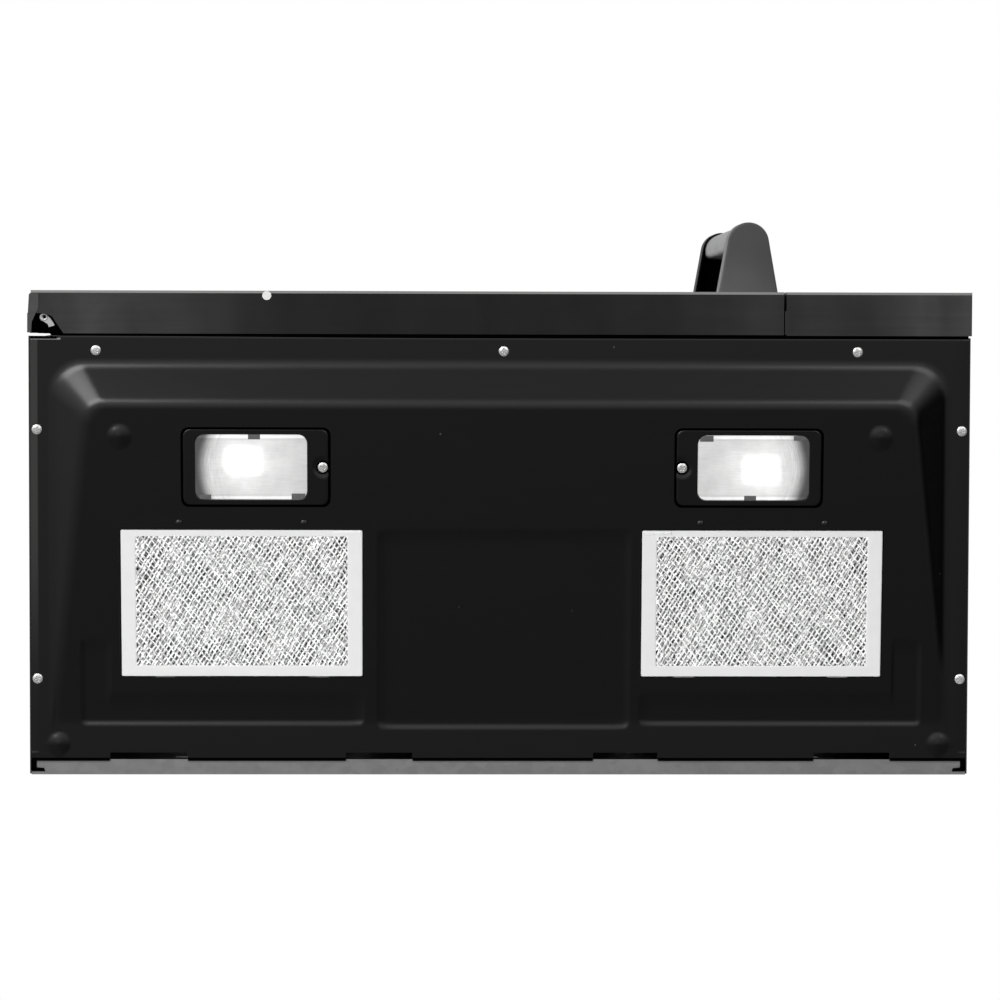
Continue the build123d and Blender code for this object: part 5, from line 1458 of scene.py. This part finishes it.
def rear_edges():
    """Dark strips of painted shadow in the gap along the base's rear edge, and the black hooks at
    its corners.
    """
    spans = [(-377.0, -314.2), (-251.4, -124.2), (-70.4, 75.4), (127.9, 253.8), (315.9, 377.0)]
    # Painted shadow: dark strips in the gap between the base's rear edge and the rear ledge.
    shadow_strips_and_hooks = [cut_slab(bar_corners(*span, -13.6, -11.1), -0.3, 0.4, 0.1, 2.0) for span in spans]
    upright = [(377.6, -12.4), (373.2, -12.4), (373.2, -3.4), (377.6, -3.4)]
    foot = [(377.6, -6.2), (367.4, -5.2), (366.4, -2.6), (377.0, -2.6)]
    for side in (-1, 1):
        for outline in (upright, foot):
            corners = [(side * x, y) for x, y in outline]
            shadow_strips_and_hooks.append(cut_slab(corners[::side], 0.2, 0.95, 0.2, 0.9))
    make_piece("rear_gap_shadow", joined(shadow_strips_and_hooks), "dark_liner_and_painted_shade", "cabinet", 40)


def shell_fixings():
    """Low screws and spot-weld marks along the cabinet's sides and top."""
    heads, welds, turn = [], [], np.random.default_rng(31)
    weld_y = -345.5
    for side in (-1, 1):
        for y, z in ((-14, 40), (-14, 200), (-14, 360), (-338, 40), (-338, 330)):
            place, spin = (side * SHELL_SIDE, y, z), turn.uniform(0, np.pi / 2)
            heads.append(screw_head(place, (side, 0, 0), (0, 1, 0), 3.7, 0.9, spin))
        for z in range(90, 291, 50):
            place = (side * SHELL_SIDE, weld_y, z)
            welds.append((place, (0, side, 0), (0, 0, 1), (side, 0, 0)))
    for x in (-340, -180, 180, 340):
        place, spin = (x, -7.5, SHELL_TOP), turn.uniform(0, np.pi / 2)
        heads.append(screw_head(place, (0, 0, 1), (1, 0, 0), 3.7, 1.6, spin))
    for x in range(-330, 301, 70):
        welds.append(((x, weld_y, SHELL_TOP), (1, 0, 0), (0, 1, 0), (0, 0, 1)))
    piece = make_piece("cabinet_shell_screws", joined(heads), "black_coat", "cabinet", 50)
    rings = [(0.01, 0.0), (1.2, 0.03), (2.3, 0.17), (2.8, 0.33), (3.2, 0.35), (3.7, 0.25)]
    rings += [(4.0, -0.25), (0.01, -0.45)]
    count, marks = 20, []
    for centre, x_dir, y_dir, out in welds:
        points, quads = turned(rings, count, centre, x_dir, y_dir, out)
        shape = with_pole((points, quads[:, ::-1]), 0, count)
        marks.append(with_pole(shape, (len(rings) - 1) * count, count, flip=True))
    piece = make_piece("cabinet_weld_marks", joined(marks), "powder_coat", "cabinet", 50)


def ribbon(line, width):
    """A flat ribbon along a line of (x, z) points; the width may differ at each point."""
    line = np.asarray(line, float)
    ahead = np.gradient(line, axis=0)
    ahead /= np.linalg.norm(ahead, axis=1)[:, None]
    across = np.stack([-ahead[:, 1], ahead[:, 0]], 1) * (np.ones(len(line)) * width / 2)[:, None]
    n, i = len(line), np.arange(len(line) - 1)
    return np.concatenate([line - across, line + across]), np.stack([i, i + 1, i + 1 + n, i + n], 1)


def arc_line(x, z, radius_x, radius_z, start=0, stop=360):
    """Points of an ellipse's arc from start to stop degrees, one about every 12 degrees."""
    count = max(4, int(abs(stop - start) / 12) + 1)
    return (x, z) + (radius_x, radius_z) * circle(np.radians(np.linspace(start, stop, count)))


def turned_line(line, angle):
    """A line turned about the origin and moved to the middle of a unit box."""
    cos, sin = math.cos(angle), math.sin(angle)
    return 0.5 + np.array(line) @ [(cos, sin), (-sin, cos)]


# Signs are drawn in a unit box: the thirds of a turn, and the lines that signs share.
THIRD = 2.0944
CROSS = [[(0.1, 0.5), (0.9, 0.5)], [(0.5, 0.1), (0.5, 0.9)]]
BOX = [[(0.1, 0.1), (0.9, 0.1)], [(0.9, 0.06), (0.9, 0.94)]]
BOX += [[(0.9, 0.9), (0.1, 0.9)], [(0.1, 0.94), (0.1, 0.06)]]
BLADES = [turned_line(arc_line(0.0, 0.27, 0.13, 0.17, -60, 240), k * THIRD) for k in range(3)]
FLAKE = [turned_line([(-0.46, 0.0), (0.46, 0.0)], k) for k in (0.5236, 1.5708, 2.618)]
WAVE_X, WAVE_Z = 0.08 * np.sin(np.linspace(0, 6.28, 15)), np.linspace(0.08, 0.92, 15)


DIGIT_LINES = [
    [arc_line(0.3, 0.5, 0.26, 0.46)],
    [[(0.12, 0.76), (0.36, 0.97)], [(0.36, 1.0), (0.36, 0.0)]],
    [[*arc_line(0.3, 0.71, 0.24, 0.25, 165, -35), (0.06, 0.04)], [(0.03, 0.04), (0.57, 0.04)]],
    [arc_line(0.29, 0.73, 0.21, 0.23, 150, -90), arc_line(0.29, 0.27, 0.25, 0.24, 90, -150)],
    [[(0.44, 0.0), (0.44, 0.99)], [(0.44, 0.96), (0.04, 0.29)], [(0.01, 0.29), (0.6, 0.29)]],
    [
        [(0.53, 0.96), (0.1, 0.96)],
        [(0.12, 0.98), (0.09, 0.53)],
        arc_line(0.28, 0.30, 0.26, 0.27, 128, -150),
    ],
    [arc_line(0.3, 0.29, 0.24, 0.26), arc_line(0.56, 0.34, 0.5, 0.64, 103, 180)],
    [[(0.05, 0.96), (0.56, 0.96)], [(0.55, 0.97), (0.22, 0.0)]],
    [arc_line(0.3, 0.74, 0.2, 0.22), arc_line(0.3, 0.27, 0.25, 0.25)],
    [arc_line(0.3, 0.71, 0.24, 0.26), arc_line(0.04, 0.66, 0.5, 0.64, -77, 0)],
]
SIGN_LINES = {
    "start": [[(0.1, 0.05), (0.1, 0.95)], [(0.08, 0.95), (0.9, 0.5)], [(0.9, 0.5), (0.08, 0.05)]],
    "stop": BOX,
    "clock": [
        arc_line(0.5, 0.5, 0.46, 0.46),
        [(0.5, 0.82), (0.5, 0.48)],
        [(0.48, 0.5), (0.74, 0.5)],
    ],
    "lamp": [
        arc_line(0.5, 0.6, 0.32, 0.32, -55, 235),
        [(0.34, 0.22), (0.66, 0.22)],
        [(0.38, 0.08), (0.62, 0.08)],
    ],
    "fan": [arc_line(0.5, 0.5, 0.09, 0.09)] + BLADES,
    "frost": FLAKE,
    "more": CROSS,
    "less": CROSS[:1],
    "heat": [np.stack([x + WAVE_X, WAVE_Z], 1) for x in (0.22, 0.5, 0.78)],
}

# Ends of the clock's lit bars, on a lattice one bar wide and two bars high.
SEGMENT_LINES = {
    "a": ((0, 2), (1, 2)),
    "b": ((1, 2), (1, 1)),
    "c": ((1, 1), (1, 0)),
    "d": ((0, 0), (1, 0)),
    "e": ((0, 1), (0, 0)),
    "f": ((0, 2), (0, 1)),
    "g": ((0, 1), (1, 1)),
}


def printed(name, ribbons, finish):
    """Flat ribbons in (x, z) laid as thin closed marks on the control glass."""
    sheets = []
    for flat, quads in ribbons:
        y = np.full(len(flat), FACE + 0.2 - PRINT_THICK)
        points = np.column_stack([flat[:, 0], y, flat[:, 1]])
        sheets.append(thick_sheet(points, quads, np.array((0, PRINT_THICK, 0))))
    make_piece(name, joined(sheets), finish, "cabinet", 30)


def mark(lines, x, z, width, height, thick):
    """Ribbons of a sign drawn in a unit box, centred on x and z."""
    box = np.array((width, height))
    return [ribbon((np.asarray(line) - (0.5, 0.5)) * box + (x, z), thick) for line in lines]


def control_marks():
    """Keys and clock of the control side: plain numbers and generic signs."""
    left, middle, right = 268.0, 304.7, 341.4
    places = [(middle, 121)] + [(x, z) for z in (196, 171, 146) for x in (left, middle, right)]
    order = (*range(1, 10), 0)
    marks = []
    for digit in order:
        lines = [np.asarray(line) + (0.2, 0.0) for line in DIGIT_LINES[digit]]
        marks += mark(lines, *places[digit], 9.4, 9.0, 0.95)
    signs = [("clock", left, 247), ("frost", middle, 247), ("heat", right, 247)]
    signs += [("lamp", left, 224), ("fan", right, 224), ("less", left, 121), ("more", right, 121)]
    for sign, x, z in signs:
        marks += mark(SIGN_LINES[sign], x, z, 8.6, 8.6, 0.9)
    big = [("stop", left + 4, 64), ("start", right - 4, 64)]
    for sign, x, z in big:
        marks += mark(SIGN_LINES[sign], x, z, 12.0, 12.0, 0.9)
    printed("control_key_marks", marks, "panel_print")
    edge = 52.7
    faint = []
    for z in (259, 235.5, 210, 103):
        faint.append(ribbon([(middle - edge, z), (middle, z), (middle + edge, z)], 0.45))
    frames = [(middle, 290, 46, 17)] + [(x, z, 21, 15) for _, x, z in big]
    for x, z, half_x, half_z in frames:
        outline = rounded_loop(half_x, half_z, 4.0, 8, (8, 16)) + (x, z)
        faint.append(ribbon(np.concatenate([outline, outline[:2]]), 0.5))
    printed("control_panel_lines", faint, "panel_line")
    lit, clock_z, slant = [], 280.5, 0.09
    for place, segments in zip((266.5, 283.5, 308.5, 325.5), ("bc", "abged", "abcdef", "abcdef")):
        for segment in segments:
            ends = np.array(SEGMENT_LINES[segment], float) * (10.0, 9.5)
            run = ends[0] + np.array((0.06, 0.16, 0.84, 0.94))[:, None] * (ends[1] - ends[0])
            run += (place, 0.0) + run[:, 1:] * (slant, 0.0) + (0.0, clock_z)
            lit.append(ribbon(run, np.array((0.3, 2.0, 2.0, 0.3))))
    for z in (285.5, 294.5):
        lit.append(ribbon([(301.2, z - 0.9), (301.2, z + 0.9)], 1.8))
    printed("control_clock_digits", lit, "display_light")


def surroundings():
    """What the part reflects: pale overhead, and below it pale in front and on the left,
    dark towards the wall and on the right. The camera itself sees white."""
    world = bpy.data.worlds.new("studio")
    scene.world = world
    world.use_nodes = True
    w = Wiring(world.node_tree)
    x, y, z = w.axes(w.node("TexCoord").outputs["Generated"])
    level = w.times(w.spread(y, -0.5, 0.2, 0.85, 0.16), w.eased(y, -0.92, -0.62, 0.42, 1.0))
    sides = w.times(w.spread(x, -0.35, 0.25, 1.25, 0.85), w.eased(x, 0.68, 0.92, 1.0, 0.03))
    below = w.grey(w.times(level, sides))
    overhead = w.mix(w.eased(z, 0.05, 0.75), (0.62, 0.62, 0.63, 1), (0.92, 0.92, 0.93, 1))
    seen = w.mix(w.eased(z, -0.2, 0.3), below, overhead)
    to_camera = w.node("LightPath").outputs["Is Camera Ray"]
    background = world.node_tree.nodes["Background"]
    w.feed(background, "Color", w.mix(to_camera, seen, (1, 1, 1, 1)))


def pale_floor():
    """A floor that only the camera sees, and only from above."""
    mesh = bpy.data.meshes.new("floor")
    corners = [(-4, -4, -0.16), (4, -4, -0.16), (4, 4, -0.16), (-4, 4, -0.16)]
    mesh.from_pydata(corners, [], [(0, 1, 2, 3)])
    floor_piece = bpy.data.objects.new("floor", mesh)
    scene.collection.objects.link(floor_piece)
    m = Finish("pale_floor", Roughness=0.8)
    m.colour(m.noise(m.place(), 2.0), (0.78, 0.78, 0.77), (0.84, 0.84, 0.83))
    behind = m.node("NewGeometry").outputs["Backfacing"]
    either = m.fed("MixShader", behind, m.shader.outputs[0], m.node("BsdfTransparent").outputs[0])
    m.feed(m.tree.nodes["Material Output"], 0, either.outputs[0])
    mesh.materials.append(m.material)
    floor_piece.visible_diffuse = False
    floor_piece.visible_glossy = False
    floor_piece.visible_transmission = False
    floor_piece.visible_shadow = False


def placed(name, data, x_dir, y_dir, z_dir, place):
    """A new object with the given axes, at a place."""
    made = bpy.data.objects.new(name, data)
    scene.collection.objects.link(made)
    matrix = np.eye(4)
    matrix[:3] = np.column_stack([x_dir, y_dir, z_dir, place])
    made.matrix_world = Matrix(matrix.tolist())
    return made


def soft_light(name, place, size, power, glossy=True):
    """A rectangular lamp aimed at the middle of the part."""
    data = bpy.data.lights.new(name, "AREA")
    data.shape = "RECTANGLE"
    data.size, data.size_y = size
    data.energy = power
    away = np.array(place, float) - (0, -0.2, 0.1)
    away /= np.linalg.norm(away)
    side = np.cross((0.0, 0.0, 1.0), away)
    side /= np.linalg.norm(side)
    light = placed(name, data, side, np.cross(away, side), away, place)
    light.visible_camera = False
    light.visible_glossy = glossy


def stage():
    """Camera at the photograph's angle, pale floor, soft lights and the surroundings."""
    scene.view_settings.view_transform = "Standard"
    surroundings()
    data = bpy.data.cameras.new("camera")
    data.sensor_width = 36
    data.lens = FOCAL_PIXELS * data.sensor_width / PHOTO_PIXELS
    data.clip_end = 50
    x_dir = (0.999823, -0.002673, -0.018611)
    y_dir = (-0.001788, -0.998875, 0.047397)
    z_dir = (-0.018717, -0.047355, -0.998703)
    scene.camera = placed("camera", data, x_dir, y_dir, z_dir, (-0.05, -0.348, -2.65315))
    pale_floor()
    soft_light("front_left_low", (-1.35, -1.95, -1.75), (1.5, 1.0), 30)
    soft_light("front_right_low", (1.25, -1.95, -1.75), (1.5, 1.0), 9)
    soft_light("rear_low", (-0.5, 2.1, -1.5), (2.6, 1.2), 56, glossy=False)
    soft_light("key_above", (-1.6, -2.2, 2.2), (1.4, 1.4), 62, glossy=False)
    soft_light("fill_above", (2.2, -1.4, 1.6), (1.2, 1.2), 30, glossy=False)
    soft_light("top_box", (0.3, 0.6, 2.6), (1.8, 1.2), 40, glossy=False)
    soft_light("rear_box", (-0.5, 2.6, 1.4), (1.6, 1.2), 35, glossy=False)


stage()
base_piece()
screws()
for side_name, side_sign in (("left", -1), ("right", 1)):
    lamp_cover(side_name, side_sign)
    lamp_lens(side_name, side_sign)
    filter_border(side_name, side_sign)
    filter_strands(side_name, side_sign)
handle_post("lower", HANDLE_LOW, HANDLE_LOW + POST_THICK)
handle_post("upper", HANDLE_TOP, HANDLE_TOP - POST_THICK)
handle_bar()
hinge_pieces()
front_edges()
rear_edges()
control_marks()
shell_fixings()

# The finish of each solid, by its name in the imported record.
SOLID_FINISHES = {
    "black_enamel": "base_plate lamp_cover_left lamp_cover_right door_screen",
    "powder_coat": "cabinet_shell",
    "galvanised": "rear_panel waveguide bay_shelf blower_housing",
    "oven_enamel": "oven_cavity",
    "mica_sheet": "waveguide_cover",
    "cast_aluminium": (
        "magnetron capacitor blower_motor turntable_motor lamp_housing_left "
        "lamp_housing_right"
    ),
    "copper_winding": "transformer",
    "black_plastic": "cooling_fan_frame blower_wheels cord_bushing interlock_switches choke_cover",
    "grey_plastic": "cooling_fan turntable_hub roller_ring interlock_bracket latch_hooks",
    "zinc_dull": "exhaust_collar exhaust_damper",
    "screw_steel": "mounting_nuts lamp_screw_left lamp_screw_right cabinet_screws handle_screws",
    "clear_glass": "glass_tray",
    "bulb_glass": "lamp_bulb_left lamp_bulb_right",
    "plug_white": "lamp_glass_left lamp_glass_right door_plug",
    "filter_aluminium": "filter_frame_left filter_frame_right filter_mesh_left filter_mesh_right",
    "door_underside": "control_frame door_frame",
    "stainless_brushed": "control_trim vent_grille door_skin",
    "black_glass_panel": "control_glass",
    "board_green": "control_board",
    "charcoal_granules": "charcoal_filter",
    "dark_liner_and_painted_shade": "hinge_bracket_lower",
    "black_coat": "hinge_bracket_upper",
    "window_glass": "door_glass",
    "post_plastic": "handle_post_lower handle_post_upper",
    "handle_satin": "handle_bar",
}
for finish_name, node_names in SOLID_FINISHES.items():
    for node_name in node_names.split():
        for slot in nodes[node_name].material_slots:
            slot.material = FINISHES[finish_name]
